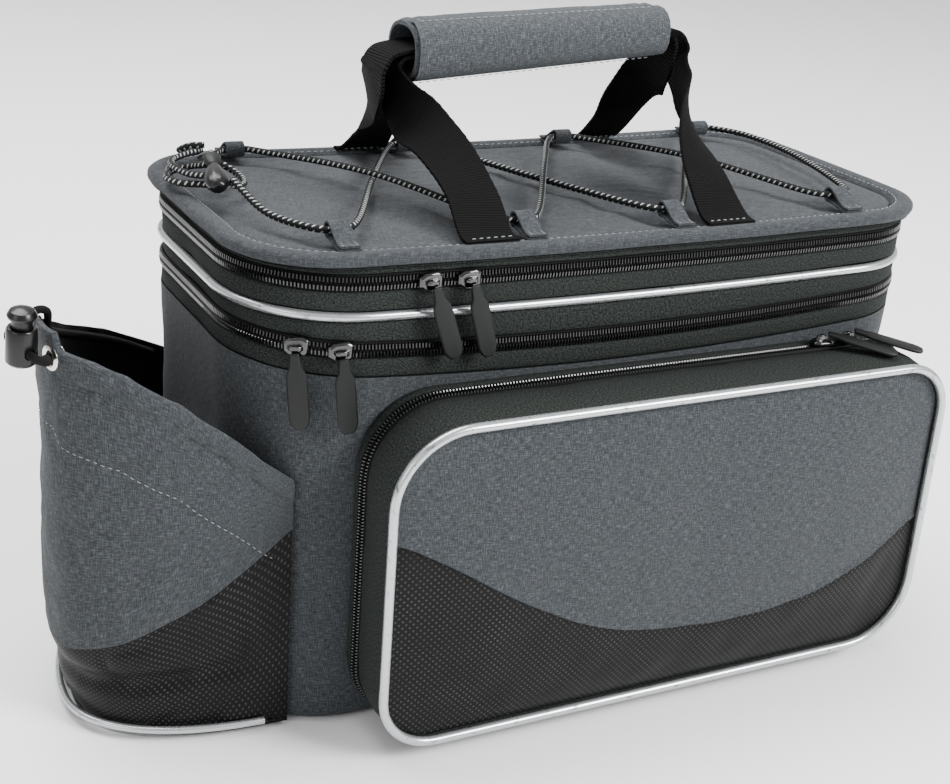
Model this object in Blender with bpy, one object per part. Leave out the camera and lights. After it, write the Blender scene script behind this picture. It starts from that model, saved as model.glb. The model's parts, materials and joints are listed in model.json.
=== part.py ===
# Bicycle trunk bag: padded body, banded lid with two zips, laced lid, carrying handle,
# side pocket on the front and open bottle pocket round the left end.
# X runs along the bag, -Y faces the side pocket, +Z is up and the bag's floor lies at z = 0.
import math

import bmesh
import bpy
from mathutils import Matrix, Vector

for item in list(bpy.data.objects):
    bpy.data.objects.remove(item, do_unlink=True)

# Body and bands, in metres
BAG_LENGTH = 0.342
BAG_WIDTH = 0.169
BAG_HEIGHT = 0.218
LEFT_RADIUS = 0.050
RIGHT_RADIUS = 0.039
FLOOR_EDGE_RADIUS = 0.007
PADDED_WALL = 0.004
BAND_WALL = 0.0026
GAP = 0.0003
ZIP_HEIGHT = 0.0068
ZIP_WALL = 0.0020
PIPING_HEIGHT = 0.0040
PIPING_PROUD = 0.0016

# Lid
LID_OVERHANG = 0.0024
LID_LEFT_RADIUS = 0.042
LID_RIGHT_RADIUS = 0.038
RIM_HEIGHT = 0.0045
RIM_WIDTH = 0.0100
PANEL_WALL = 0.0030
LID_CROWN = 0.0030

# Handle and straps
WEBBING_WIDTH = 0.025
WEBBING_THICK = 0.0016
HANDLE_HEIGHT = 0.2845
HANDLE_SLOPE = 0.0080
HANDLE_OFFSET = -0.0105
WRAP_LENGTH = 0.129
WRAP_WALL = 0.0028
WRAP_EASE = 0.0009
WRAP_HALF_HEIGHT = 0.0125

# Lacing
CORD_DIAMETER = 0.0030
TAB_WIDTH = 0.0090
TAB_LENGTH = 0.0150
TAB_WALL = 0.0010
TAB_RISE = 0.0055
EYE_RADIUS = 0.0027
CROSSING_LIFT = 0.0037

# Side pocket
POCKET_LENGTH = 0.284
POCKET_HEIGHT = 0.149
POCKET_FOOT = 0.0085
POCKET_OFFSET = 0.0160
POCKET_DEPTH = 0.039
POCKET_DROOP = 0.0030
POCKET_BULGE = 0.010
POCKET_LOW_LEFT_RADIUS = 0.026
POCKET_LOW_RIGHT_RADIUS = 0.034
POCKET_TOP_RIGHT_RADIUS = 0.025
POCKET_TOP_LEFT_RADIUS = 0.034
POCKET_WALL = 0.0025
BACK_GUSSET = 0.0050
POCKET_PIPING = 0.0042

# Bottle pocket
END_DEPTH = 0.092
END_SKEW = 0.030
END_FRONT_SQUARE = 2.3
END_REAR_SQUARE = 1.8
END_START = 0.150
END_FOOT = 0.0020
END_WALL = 0.0022
END_TUCK = 0.0100
HEM_HEIGHT = 0.1810
EYELET_RADIUS = 0.0054
EYELET_BORE = 0.0030
EYELET_ANGLE = 13.0
EYELET_HEIGHT = 0.1705
ELASTIC_DIAMETER = 0.0034

# Zip sliders and pull tabs
SLIDER_LENGTH = 0.0105
SLIDER_WIDTH = 0.0085
SLIDER_THICK = 0.0026
BAIL_HEIGHT = 0.0024
SLIDER_CLEARANCE = 0.0012
PULL_LENGTH = 0.0330
PULL_WIDTH = 0.0085
PULL_THICK = 0.0020

# Cord locks
BARREL_DIAMETER = 0.0126
BARREL_HEIGHT = 0.0155
BUTTON_DIAMETER = 0.0118
BUTTON_HEIGHT = 0.0046
PLUNGER_DIAMETER = 0.0084
LOCK_TRAVEL = 0.0030
DROP_LENGTH = 0.0190
DROP_WIDTH = 0.0105
DROP_THICK = 0.0085

ARC_STEPS = 5
LONG_STEPS = 5
SHORT_STEPS = 2

# Height at the corners and dip at mid-length, as shares of BAG_HEIGHT
SEAMS = {
    "band_foot": (0.7740, 0.0420),
    "lower_zip": (0.8260, 0.0400),
    "piping": (0.8800, 0.0150),
    "lid_zip": (0.9440, 0.0130),
    "lid_edge": (1.0000, 0.0110),
}


def material(name, colour, roughness, metallic=0.0):
    shade = bpy.data.materials.new(name)
    shade.use_nodes = True
    shader = shade.node_tree.nodes["Principled BSDF"]
    shader.inputs["Base Color"].default_value = (*colour, 1.0)
    shader.inputs["Roughness"].default_value = roughness
    shader.inputs["Metallic"].default_value = metallic
    shade.diffuse_color = (*colour, 1.0)
    return shade


GREY_CLOTH = material("grey_melange_cloth", (0.105, 0.118, 0.135), 0.90)
DARK_CLOTH = material("dark_band_cloth", (0.020, 0.023, 0.022), 0.92)
BLACK_RIPSTOP = material("black_coated_cloth", (0.022, 0.021, 0.020), 0.60)
BLACK_WEBBING = material("black_webbing", (0.012, 0.012, 0.012), 0.80)
ZIP_COIL = material("zip_coil", (0.014, 0.014, 0.014), 0.45)
SILVER_PIPING = material("silver_piping", (0.620, 0.640, 0.650), 0.35)
CORD_SHEATH = material("bungee_sheath", (0.030, 0.030, 0.030), 0.75)
RUBBER = material("pull_tab_rubber", (0.030, 0.032, 0.033), 0.60)
SLIDER_METAL = material("black_lacquered_metal", (0.020, 0.020, 0.021), 0.30, 0.6)
EYELET_METAL = material("nickel_eyelet", (0.700, 0.690, 0.660), 0.25, 1.0)
LOCK_PLASTIC = material("black_lock_plastic", (0.015, 0.015, 0.015), 0.35)


def add_mesh(name, points, faces, shade, smooth=40):
    """One object from a list of points and faces, with its faces turned outwards."""
    mesh = bpy.data.meshes.new(name)
    mesh.from_pydata([tuple(point) for point in points], [], faces)
    work = bmesh.new()
    work.from_mesh(mesh)
    bmesh.ops.recalc_face_normals(work, faces=work.faces)
    if work.calc_volume(signed=True) < 0:
        bmesh.ops.reverse_faces(work, faces=work.faces)
    work.to_mesh(mesh)
    work.free()
    mesh.shade_smooth()
    mesh.set_sharp_from_angle(angle=math.radians(smooth))
    mesh.materials.append(shade)
    thing = bpy.data.objects.new(name, mesh)
    bpy.context.collection.objects.link(thing)
    return thing


def loft(name, loops, shade, closed=False, caps=True, smooth=40):
    """Joins loops of equally many points; closed joins the last loop to the first."""
    count = len(loops[0])
    points = [point for loop in loops for point in loop]
    faces = []
    rows = len(loops) if closed else len(loops) - 1
    for row in range(rows):
        here = row * count
        there = ((row + 1) % len(loops)) * count
        for step in range(count):
            after = (step + 1) % count
            faces.append((here + step, here + after, there + after, there + step))
    if caps and not closed:
        faces.append(tuple(range(count)))
        faces.append(tuple((len(loops) - 1) * count + step for step in range(count)))
    return add_mesh(name, points, faces, shade, smooth)


def smooth_curve(knots, steps):
    """Points on a smooth curve through the knots, with steps points after each knot."""
    knots = [Vector(knot) for knot in knots]
    if isinstance(steps, int):
        steps = [steps] * (len(knots) - 1)
    ends = [knots[0] * 2 - knots[1]] + knots + [knots[-1] * 2 - knots[-2]]
    points = []
    for place in range(1, len(ends) - 2):
        before, start, stop, after = ends[place - 1:place + 3]
        times = [0.0]
        for one, two in ((before, start), (start, stop), (stop, after)):
            times.append(times[-1] + max((two - one).length, 1e-6) ** 0.5)
        for step in range(steps[place - 1]):
            at = times[1] + (times[2] - times[1]) * step / steps[place - 1]
            a1 = before.lerp(start, (at - times[0]) / (times[1] - times[0]))
            a2 = start.lerp(stop, (at - times[1]) / (times[2] - times[1]))
            a3 = stop.lerp(after, (at - times[2]) / (times[3] - times[2]))
            b1 = a1.lerp(a2, (at - times[0]) / (times[2] - times[0]))
            b2 = a2.lerp(a3, (at - times[1]) / (times[3] - times[1]))
            points.append(b1.lerp(b2, (at - times[1]) / (times[2] - times[1])))
    points.append(knots[-1])
    return points


def tube(name, points, diameter, shade):
    """A round cord: a bevelled polyline with filled ends."""
    curve = bpy.data.curves.new(name, "CURVE")
    curve.dimensions = "3D"
    curve.bevel_depth = diameter / 2
    curve.bevel_resolution = 2
    curve.use_fill_caps = True
    line = curve.splines.new("POLY")
    line.points.add(len(points) - 1)
    for knot, point in zip(line.points, points):
        knot.co = (*point, 1.0)
    curve.materials.append(shade)
    thing = bpy.data.objects.new(name, curve)
    bpy.context.collection.objects.link(thing)
    return thing


def strip(name, rows, width, thick, shade, steps=2):
    """A flat band along knots (point, width direction), lofted from its four-cornered section."""
    points = smooth_curve([row[0] for row in rows], steps)
    ways = smooth_curve([row[1] for row in rows], steps)
    loops = []
    for place, point in enumerate(points):
        ahead = points[min(place + 1, len(points) - 1)] - points[max(place - 1, 0)]
        ahead.normalize()
        across = (ways[place] - ahead * ways[place].dot(ahead)).normalized()
        up = across.cross(ahead)
        loops.append([point + across * side * width / 2 + up * rise * thick / 2
                      for side, rise in ((-1, -1), (1, -1), (1, 1), (-1, 1))])
    return loft(name, loops, shade, smooth=50)


def mix(start, stop, share):
    return start + (stop - start) * share


def rounded_plan(length, width, radii, out=0.0):
    """A rounded rectangle about the origin. radii: low left, low right, high right, high left."""
    low_left, low_right, high_right, high_left = radii
    corners = (
        (-length / 2 + low_left, -width / 2 + low_left, low_left, 180),
        (length / 2 - low_right, -width / 2 + low_right, low_right, 270),
        (length / 2 - high_right, width / 2 - high_right, high_right, 0),
        (-length / 2 + high_left, width / 2 - high_left, high_left, 90),
    )
    arcs = []
    for x, y, radius, angle in corners:
        arc = []
        for step in range(ARC_STEPS + 1):
            turn = math.radians(angle + 90 * step / ARC_STEPS)
            reach = radius + out
            arc.append((x + reach * math.cos(turn), y + reach * math.sin(turn)))
        arcs.append(arc)
    points = []
    for place, arc in enumerate(arcs):
        points += arc
        steps = LONG_STEPS if place % 2 == 0 else SHORT_STEPS
        start, stop = arc[-1], arcs[(place + 1) % 4][0]
        for step in range(1, steps):
            share = step / steps
            points.append((mix(start[0], stop[0], share), mix(start[1], stop[1], share)))
    return points


def bag_plan(out=0.0):
    """Plan of the body and its bands."""
    radii = (LEFT_RADIUS, RIGHT_RADIUS, RIGHT_RADIUS, LEFT_RADIUS)
    return rounded_plan(BAG_LENGTH, BAG_WIDTH, radii, out)


def lid_plan(out=0.0):
    """Plan of the lid's rim, which stands over the bands."""
    radii = (LID_LEFT_RADIUS, LID_RIGHT_RADIUS, LID_RIGHT_RADIUS, LID_LEFT_RADIUS)
    return rounded_plan(BAG_LENGTH + 2 * LID_OVERHANG, BAG_WIDTH + 2 * LID_OVERHANG, radii, out)


def seam_height(seam, x):
    """Height of a seam of the bands above the floor, lowest at mid-length."""
    corner, dip = SEAMS[seam]
    off_middle = min(abs(x) / (BAG_LENGTH / 2), 1.0)
    return BAG_HEIGHT * (corner - dip * (1 - off_middle ** 2))


def band_ring(name, profile, shade, smooth=40):
    """A ring round the bag. profile rows: (plan, out from that plan, seam, height above it)."""
    loops = []
    for plan, out, seam, above in profile:
        loops.append([(x, y, seam_height(seam, x) + above) for x, y in plan(out)])
    return loft(name, loops, shade, closed=True, smooth=smooth)


def build_body():
    """The grey padded tub, open at the top, with a flat floor."""
    edge = FLOOR_EDGE_RADIUS
    rows = []
    for out, height in ((-edge, 0.0), (-edge * 0.3, edge * 0.3), (0.0, edge)):
        rows.append([(x, y, height) for x, y in bag_plan(out)])
    rows.append([(x, y, BAG_HEIGHT * 0.40) for x, y in bag_plan(0.0)])
    rows.append([(x, y, seam_height("band_foot", x) - GAP) for x, y in bag_plan(0.0)])
    rows.append([(x, y, seam_height("band_foot", x) - GAP) for x, y in bag_plan(-PADDED_WALL)])
    rows.append([(x, y, BAG_HEIGHT * 0.40) for x, y in bag_plan(-PADDED_WALL)])
    rows.append([(x, y, PADDED_WALL) for x, y in bag_plan(-PADDED_WALL - edge * 0.4)])
    loft("main_body", rows, GREY_CLOTH)


def build_bands():
    """Dark bands, two zips and the silver piping, stacked from the body up to the lid."""
    zip_half = ZIP_HEIGHT / 2
    bead = PIPING_HEIGHT / 2

    def wall(name, low, low_above, high, high_above, shade, thick, out=0.0):
        band_ring(name, (
            (bag_plan, out, low, low_above), (bag_plan, out, high, high_above),
            (bag_plan, out - thick, high, high_above), (bag_plan, out - thick, low, low_above)), shade)

    wall("lower_band", "band_foot", 0.0, "lower_zip", -zip_half - GAP, DARK_CLOTH, BAND_WALL)
    wall("expansion_zip", "lower_zip", -zip_half, "lower_zip", zip_half, ZIP_COIL, ZIP_WALL, -0.0004)
    wall("middle_band", "lower_zip", zip_half + GAP, "piping", -bead - GAP, DARK_CLOTH, BAND_WALL)
    section = ((-BAND_WALL, -1.0), (0.0, -1.0), (PIPING_PROUD, -0.45), (PIPING_PROUD, 0.45),
               (0.0, 1.0), (-BAND_WALL, 1.0))
    band_ring("band_piping", [(bag_plan, out, "piping", bead * rise) for out, rise in section],
              SILVER_PIPING)
    wall("upper_band", "piping", bead + GAP, "lid_zip", -zip_half - GAP, DARK_CLOTH, BAND_WALL)
    wall("lid_zip", "lid_zip", -zip_half, "lid_zip", zip_half, ZIP_COIL, ZIP_WALL, -0.0004)


def build_lid():
    """Dark lid band, rolled grey rim and the padded top panel."""
    foot = ZIP_HEIGHT / 2 + GAP
    band_ring("lid_band", (
        (bag_plan, 0.0, "lid_zip", foot), (lid_plan, -0.0006, "lid_edge", -RIM_HEIGHT - GAP),
        (lid_plan, -0.0006 - BAND_WALL, "lid_edge", -RIM_HEIGHT - GAP),
        (bag_plan, -BAND_WALL, "lid_zip", foot)), DARK_CLOTH)
    section = ((0.0, -1.0), (0.0008, -0.45), (-RIM_WIDTH * 0.20, 0.0), (-RIM_WIDTH * 0.75, 0.0),
               (-RIM_WIDTH, -0.35), (-RIM_WIDTH, -1.0))
    band_ring("lid_rim", [(lid_plan, out, "lid_edge", RIM_HEIGHT * rise) for out, rise in section],
              GREY_CLOTH)
    tops, unders = [], []
    outline = lid_plan(-RIM_WIDTH - GAP)
    for share in (1.0, 0.72, 0.30):
        crown = LID_CROWN * (1 - share ** 2) - RIM_HEIGHT * 0.30
        for loops, drop in ((tops, 0.0), (unders, PANEL_WALL)):
            loops.append([(x * share, y * share, seam_height("lid_edge", x * share) + crown - drop)
                          for x, y in outline])
    loft("lid_panel", tops[::-1] + unders, GREY_CLOTH)


def lid_point(x, y, above):
    """A point of the lid, with y as a share of half the width and height above the lid's edge."""
    return Vector((x * BAG_LENGTH, y * BAG_WIDTH / 2, seam_height("lid_edge", x * BAG_LENGTH) + above))


def build_handle():
    """Two webbings sewn to the lid's long edges run through one wrapped grip, one above the other."""
    side = Vector((1, 0, 0))
    deep = Vector((0, 1, 0))
    low = WEBBING_THICK / 2 + GAP
    spacing = WEBBING_THICK / 2 + GAP
    half = WRAP_LENGTH / 2

    def top(x):
        return HANDLE_HEIGHT + HANDLE_SLOPE * (x - HANDLE_OFFSET) / WRAP_LENGTH

    # Columns: x as a share of BAG_LENGTH, y as a share of half the width, share of the way from
    # the lid up to the grip, and how far the webbing's width has turned from across to along
    legs = {
        "front_left": ((-0.198, -0.98, 0.00, -1.0), (-0.198, -0.90, 0.02, -1.0),
                       (-0.194, -0.68, 0.22, -1.0), (-0.205, -0.41, 0.45, -0.75),
                       (-0.228, -0.14, 0.64, -0.25), (-0.237, -0.03, 0.80, -0.08)),
        "rear_right": ((0.222, 0.98, 0.00, -1.0), (0.222, 0.90, 0.02, -1.0),
                       (0.214, 0.66, 0.22, -1.0), (0.196, 0.41, 0.45, -0.70),
                       (0.177, 0.14, 0.64, -0.20), (0.176, 0.03, 0.80, -0.06)),
        "rear_left": ((-0.172, 0.98, 0.00, 1.0), (-0.172, 0.90, 0.02, 1.0),
                      (-0.174, 0.79, 0.12, 0.90), (-0.186, 0.62, 0.30, 0.65),
                      (-0.222, 0.36, 0.50, 0.40), (-0.248, 0.13, 0.66, 0.15),
                      (-0.256, 0.03, 0.79, 0.05)),
        "front_right": ((0.154, -0.98, 0.00, 1.0), (0.154, -0.90, 0.02, 1.0),
                        (0.156, -0.70, 0.20, 0.85), (0.172, -0.41, 0.43, 0.45),
                        (0.196, -0.13, 0.64, 0.15), (0.197, -0.03, 0.78, 0.05)),
    }

    def leg(name):
        rows = []
        for x, y, rise, turned_by in legs[name]:
            base = lid_point(x, y, low)
            quarter = math.radians(90 * turned_by)
            way = deep * math.cos(quarter) + side * math.sin(quarter)
            rows.append((Vector((base.x, base.y, mix(base.z, top(base.x), rise))), way))
        return rows

    def bend(end, level, straight, radius):
        middle = HANDLE_OFFSET + end * (half + straight)
        rows = []
        for angle in (75, 38, 0):
            turn = math.radians(angle)
            x = middle + end * radius * math.sin(turn)
            z = top(HANDLE_OFFSET + end * half) + level - radius * (1 - math.cos(turn))
            rows.append((Vector((x, 0.0, z)), deep))
        return rows

    # Columns: webbing, leg on the left, leg on the right, level in the grip, straight way out of
    # it, radius of its bend
    for name, left, right, level, straight, radius in (
            ("inner_webbing", "front_left", "rear_right", -spacing, 0.0010, 0.0055),
            ("outer_webbing", "rear_left", "front_right", spacing, 0.0030, 0.0105)):
        rows = leg(left) + bend(-1, level, straight, radius)
        rows += bend(1, level, straight, radius)[::-1] + leg(right)[::-1]
        strip(name, rows, WEBBING_WIDTH, WEBBING_THICK, BLACK_WEBBING)
    loops = []
    for reach, wall in ((-half, 0.0), (0.0, 0.0), (half, 0.0), (half, WRAP_WALL),
                        (0.0, WRAP_WALL), (-half, WRAP_WALL)):
        wide = WEBBING_WIDTH / 2 + WRAP_EASE + WRAP_WALL - wall
        high = WRAP_HALF_HEIGHT * (1 - 0.08 * reach / half) - wall
        loop = []
        for step in range(14):
            turn = 2 * math.pi * step / 14
            across = math.copysign(abs(math.cos(turn)) ** 0.8, math.cos(turn))
            rise = math.copysign(abs(math.sin(turn)) ** 0.8, math.sin(turn))
            x = HANDLE_OFFSET + reach
            loop.append((x, wide * across, top(x) + high * rise))
        loops.append(loop)
    loft("handle_wrap", loops, GREY_CLOTH, closed=True)


# Lacing tabs: x as a share of BAG_LENGTH, side of the lid (-1 front, 1 rear)
TABS = {
    "front_tab_1": (-0.382, -1), "front_tab_2": (-0.134, -1),
    "front_tab_3": (0.084, -1), "front_tab_4": (0.358, -1),
    "rear_tab_1": (-0.375, 1), "rear_tab_2": (-0.118, 1),
    "rear_tab_3": (0.145, 1), "rear_tab_4": (0.395, 1),
}


def tab_eye(name):
    """Centre of the eye that a tab makes for the bungee cord."""
    x, side = TABS[name]
    reach = BAG_WIDTH / 2 + LID_OVERHANG - RIM_WIDTH * 0.5 - TAB_LENGTH
    point = lid_point(x, 0.0, TAB_RISE)
    return Vector((point.x, side * reach, point.z))


def build_tabs():
    """Each tab is a strip folded round the cord, both ends sewn to the lid's rim."""
    for name, (x, side) in TABS.items():
        eye = tab_eye(name)
        base_z = lid_point(x, 0.0, GAP + TAB_WALL / 2).z
        out = Vector((0, side, 0))
        ring = EYE_RADIUS + TAB_WALL / 2
        foot = eye + out * TAB_LENGTH
        path = [Vector((eye.x, foot.y, base_z)), Vector((eye.x, foot.y - side * 0.004, base_z))]
        for angle in (-72, -108, -144, -180, -216, -252, -288):
            turn = math.radians(angle)
            path.append(eye + out * ring * math.cos(turn) + Vector((0, 0, ring * math.sin(turn))))
        path.append(Vector((eye.x, foot.y - side * 0.004, base_z + TAB_WALL + GAP * 2)))
        path.append(Vector((eye.x, foot.y, base_z + TAB_WALL + GAP * 2)))
        loops = []
        for place, point in enumerate(path):
            ahead = path[min(place + 1, len(path) - 1)] - path[max(place - 1, 0)]
            ahead.normalize()
            across = Vector((1, 0, 0))
            up = across.cross(ahead)
            loops.append([point + across * wide * TAB_WIDTH / 2 + up * rise * TAB_WALL / 2
                          for wide, rise in ((-1, -1), (1, -1), (1, 1), (-1, 1))])
        loft(name, loops, GREY_CLOTH, smooth=50)


# Lock of the lacing: place of its lower end and of its top, as lid_point takes them
DROP_LOW = (-0.478, -0.21, 0.0080)
DROP_TOP = (-0.462, 0.09, 0.0150)

# Route of the lacing cord: the tabs in the order that the cord runs through them, the side it
# comes from and, after some of them, points of its own on the way: x as a share of BAG_LENGTH,
# y as a share of half the width, height above the lid's edge
LACING = (
    ("front_tab_1", -1, ((-0.250, 0.03, TAB_RISE),)),
    ("rear_tab_2", -1, ((-0.020, -0.02, TAB_RISE),)),
    ("front_tab_3", -1, ((0.240, 0.0, TAB_RISE),)),
    ("rear_tab_4", -1, ((0.443, 0.55, TAB_RISE), (0.443, 0.08, TAB_RISE))),
    ("front_tab_4", 1, ((0.248, 0.02, TAB_RISE + CROSSING_LIFT),)),
    ("rear_tab_3", 1, ((0.008, 0.02, TAB_RISE + CROSSING_LIFT),)),
    ("front_tab_2", 1, ((-0.252, 0.04, TAB_RISE + CROSSING_LIFT),)),
    ("rear_tab_1", 1, ()),
)


def build_lacing():
    """The dotted bungee cord, laced through all eight tabs and ending in its lock."""
    low, high = lid_point(*DROP_LOW), lid_point(*DROP_TOP)
    along = (high - low).normalized()
    entry = low.lerp(high, 0.42)
    knots = [entry + Vector((DROP_WIDTH / 2 + GAP + 0.001, -0.002, 0)),
             lid_point(-0.440, -0.48, TAB_RISE)]
    for name, side, way in LACING:
        eye = tab_eye(name)
        inward = -TABS[name][1]
        near = TAB_WIDTH / 2
        for away, turn_in in ((near + 0.0062, 0.0058), (near + 0.0008, 0.0004),
                              (-near - 0.0008, 0.0004), (-near - 0.0062, 0.0058)):
            knots.append(eye + Vector((side * away, inward * turn_in, 0)))
        knots += [lid_point(*point) for point in way]
    knots.append(lid_point(-0.438, 0.58, TAB_RISE + 0.001))
    tail = DROP_LENGTH / 2 + DROP_WIDTH * 0.95
    knots.append(low.lerp(high, 0.5) + along * (tail + GAP + 0.0015))
    steps = []
    for first, second in zip(knots, knots[1:]):
        span = (second - first).length
        steps.append(1 if span < 0.006 else 2 if span < 0.05 else 3)
    tube("bungee_cord", smooth_curve(knots, steps), CORD_DIAMETER, CORD_SHEATH)

    def oval(centre, along_by, wide, thick, across, up, sides=10):
        loop = []
        for step in range(sides):
            turn = 2 * math.pi * step / sides
            loop.append(centre + along * along_by + across * wide / 2 * math.cos(turn)
                        + up * thick / 2 * math.sin(turn))
        return loop

    across = Vector((1, 0, 0))
    across = (across - along * across.dot(along)).normalized()
    up = along.cross(across)
    middle = low.lerp(high, 0.5)
    # Sections of the drop: place along its length, width and thickness, as shares
    drop = ((-0.50, 0.35, 0.35), (-0.46, 0.66, 0.66), (-0.32, 0.94, 0.94), (-0.12, 1.0, 1.0),
            (0.14, 0.86, 0.88), (0.36, 0.62, 0.70), (0.50, 0.46, 0.54))
    loft("lacing_lock", [oval(middle, share * DROP_LENGTH, wide * DROP_WIDTH, thick * DROP_THICK,
                              across, up) for share, wide, thick in drop], LOCK_PLASTIC)
    start = DROP_LENGTH / 2 + GAP
    shank = ((0.0, 0.44, 0.50), (0.35, 0.72, 0.55), (0.80, 0.80, 0.50), (0.95, 0.66, 0.40))
    loft("lacing_lock_button", [oval(middle, start + share * DROP_WIDTH, wide * DROP_WIDTH,
                                     thick * DROP_THICK, across, up) for share, wide, thick in shank],
         RUBBER)


def pocket_plan(out, away):
    """The side pocket's outline in X and Z, whose top sinks with the distance from the body."""
    radii = (POCKET_LOW_LEFT_RADIUS, POCKET_LOW_RIGHT_RADIUS,
             POCKET_TOP_RIGHT_RADIUS, POCKET_TOP_LEFT_RADIUS)
    outline = rounded_plan(POCKET_LENGTH, POCKET_HEIGHT, radii, out)
    sink = POCKET_DROOP * away / POCKET_DEPTH / POCKET_HEIGHT
    points = []
    for x, z in outline:
        height = z + POCKET_HEIGHT / 2
        points.append((x + POCKET_OFFSET, POCKET_FOOT + height * (1 - sink)))
    return points


def pocket_ring(name, profile, shade):
    """A ring of the side pocket. profile rows: (out from the outline, distance from the body)."""
    front = BAG_WIDTH / 2 + GAP
    loops = [[(x, -front - away, z) for x, z in pocket_plan(out, away)] for out, away in profile]
    return loft(name, loops, shade, closed=True)


def edge_heights(outline, x):
    """Lowest and highest z of a closed outline at x."""
    heights = []
    for (x1, z1), (x2, z2) in zip(outline, outline[1:] + outline[:1]):
        if min(x1, x2) <= x <= max(x1, x2):
            heights += [z1, z2] if x1 == x2 else [mix(z1, z2, (x - x1) / (x2 - x1))]
    return min(heights), max(heights)


def build_side_pocket():
    """Gusset with its zip, silver piping and the bulging two-colour front panel."""
    wall = POCKET_WALL
    zip_start = BACK_GUSSET + GAP
    zip_stop = zip_start + ZIP_HEIGHT
    bead = POCKET_PIPING / 2
    swell = 0.0010
    pocket_ring("pocket_back_gusset", ((0.0, 0.0), (0.0, BACK_GUSSET), (-wall, BACK_GUSSET),
                                       (-wall, 0.0)), DARK_CLOTH)
    pocket_ring("pocket_zip", ((0.0, zip_start), (0.0, zip_stop), (-ZIP_WALL, zip_stop),
                               (-ZIP_WALL, zip_start)), ZIP_COIL)
    gusset = zip_stop + GAP
    rim = POCKET_DEPTH - bead
    pocket_ring("pocket_front_gusset", (
        (0.0, gusset), (swell, mix(gusset, rim, 0.5)), (0.0, rim - GAP), (-wall, rim - GAP),
        (swell - wall, mix(gusset, rim, 0.5)), (-wall, gusset)), DARK_CLOTH)
    pocket_ring("pocket_piping", (
        (-wall, rim), (0.0, rim), (PIPING_PROUD, rim + bead * 0.6), (PIPING_PROUD, rim + bead * 1.4),
        (0.0, rim + bead * 2), (-wall, rim + bead * 2)), SILVER_PIPING)

    outline = pocket_plan(-wall - GAP, POCKET_DEPTH - bead)
    ends = sorted({round(x, 7) for x, z in outline})
    left, right = ends[0], ends[-1]
    xs = [ends[0]]
    for x in ends[1:]:
        if x - xs[-1] > 0.0025:
            xs.append(x)
    xs[-1] = right
    foot = min(z for x, z in outline)
    tall = max(z for x, z in outline) - foot
    front = BAG_WIDTH / 2 + GAP + POCKET_DEPTH - bead

    def bulge(x, z):
        across = (x - left) / (right - left) * 2 - 1
        rise = (z - foot) / tall * 2 - 1
        return POCKET_BULGE * max(1 - abs(across) ** 3.5, 0) * max(1 - abs(rise) ** 2.6, 0)

    # The seam between the grey and the black cloth: share of the panel's length, share of height
    seam = ((0.0, 0.68), (0.10, 0.57), (0.20, 0.44), (0.30, 0.335), (0.38, 0.275), (0.47, 0.240),
            (0.57, 0.222), (0.68, 0.228), (0.79, 0.262), (0.90, 0.345), (1.0, 0.450))
    rows = 4
    for name, lower, shade in (("pocket_lower_panel", True, BLACK_RIPSTOP),
                               ("pocket_upper_panel", False, GREY_CLOTH)):
        loops = []
        for x in xs:
            low, high = edge_heights(outline, min(max(x, left + 1e-6), right - 1e-6))
            split = foot + tall * read_table(seam, (x - left) / (right - left))
            start, stop = (low, split - GAP / 2) if lower else (split + GAP / 2, high)
            heights = [mix(start, stop, row / rows) for row in range(rows + 1)]
            outer = [(x, -front - bulge(x, z), z) for z in heights]
            back = [(x, -front - bulge(x, z) + wall, z) for z in heights]
            loops.append(outer + back[::-1])
        loft(name, loops, shade)


def body_half_width(x):
    """Half the body's width at x, within its left corners."""
    along = x + BAG_LENGTH / 2 - LEFT_RADIUS
    return BAG_WIDTH / 2 - LEFT_RADIUS + math.sqrt(max(LEFT_RADIUS ** 2 - along ** 2, 0.0))


def end_outline(out, drawn_in=0.0, steps=24):
    """Plan of the bottle pocket's wall, from its front seam round the tip to its rear seam."""
    points = []
    deep = END_DEPTH + out + drawn_in
    wide = body_half_width(-END_START) + GAP + END_WALL + out
    for step in range(steps + 1):
        turn = math.radians(-90 + 180 * step / steps)
        square, side = END_REAR_SQUARE, wide + END_SKEW
        if turn < 0:
            square, side = END_FRONT_SQUARE, -wide + END_SKEW
        x = abs(math.cos(turn)) ** (2 / square)
        y = abs(math.sin(turn)) ** (2 / square)
        points.append(Vector((-END_START - deep * x, side * y - END_SKEW, 0.0)))
    return points


def way_along(points):
    """Each point's share of the way from the tip of the line, its middle point, to its end."""
    lengths = [0.0]
    for one, two in zip(points, points[1:]):
        lengths.append(lengths[-1] + (two - one).length)
    tip = lengths[len(lengths) // 2]
    return [1 - length / tip if length < tip else (length - tip) / (lengths[-1] - tip)
            for length in lengths]


def read_table(table, share):
    for (x1, z1), (x2, z2) in zip(table, table[1:]):
        if share <= x2 + 1e-6:
            return mix(z1, z2, (share - x1) / (x2 - x1))
    return table[-1][1]


# Bottle pocket: share of the way from the tip to the seam, and height as a share of HEM_HEIGHT
FRONT_HEM = ((0.0, 1.0), (0.125, 1.0), (0.15, 0.963), (0.28, 0.950), (0.39, 0.928), (0.58, 0.862),
             (0.69, 0.808), (0.79, 0.762), (0.88, 0.712), (1.0, 0.655))
REAR_HEM = ((0.0, 1.0), (0.10, 0.985), (0.25, 0.930), (0.45, 0.860), (0.70, 0.780), (1.0, 0.655))
BLACK_EDGE = ((0.0, 0.210), (0.12, 0.212), (0.23, 0.232), (0.39, 0.266), (0.52, 0.310),
              (0.69, 0.376), (0.88, 0.475), (1.0, 0.540))


def tuck(z):
    """How far the bottle pocket's wall draws in at its foot."""
    low = HEM_HEIGHT * 0.33
    return -END_TUCK * (1 - min(z / low, 1.0)) ** 2


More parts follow.
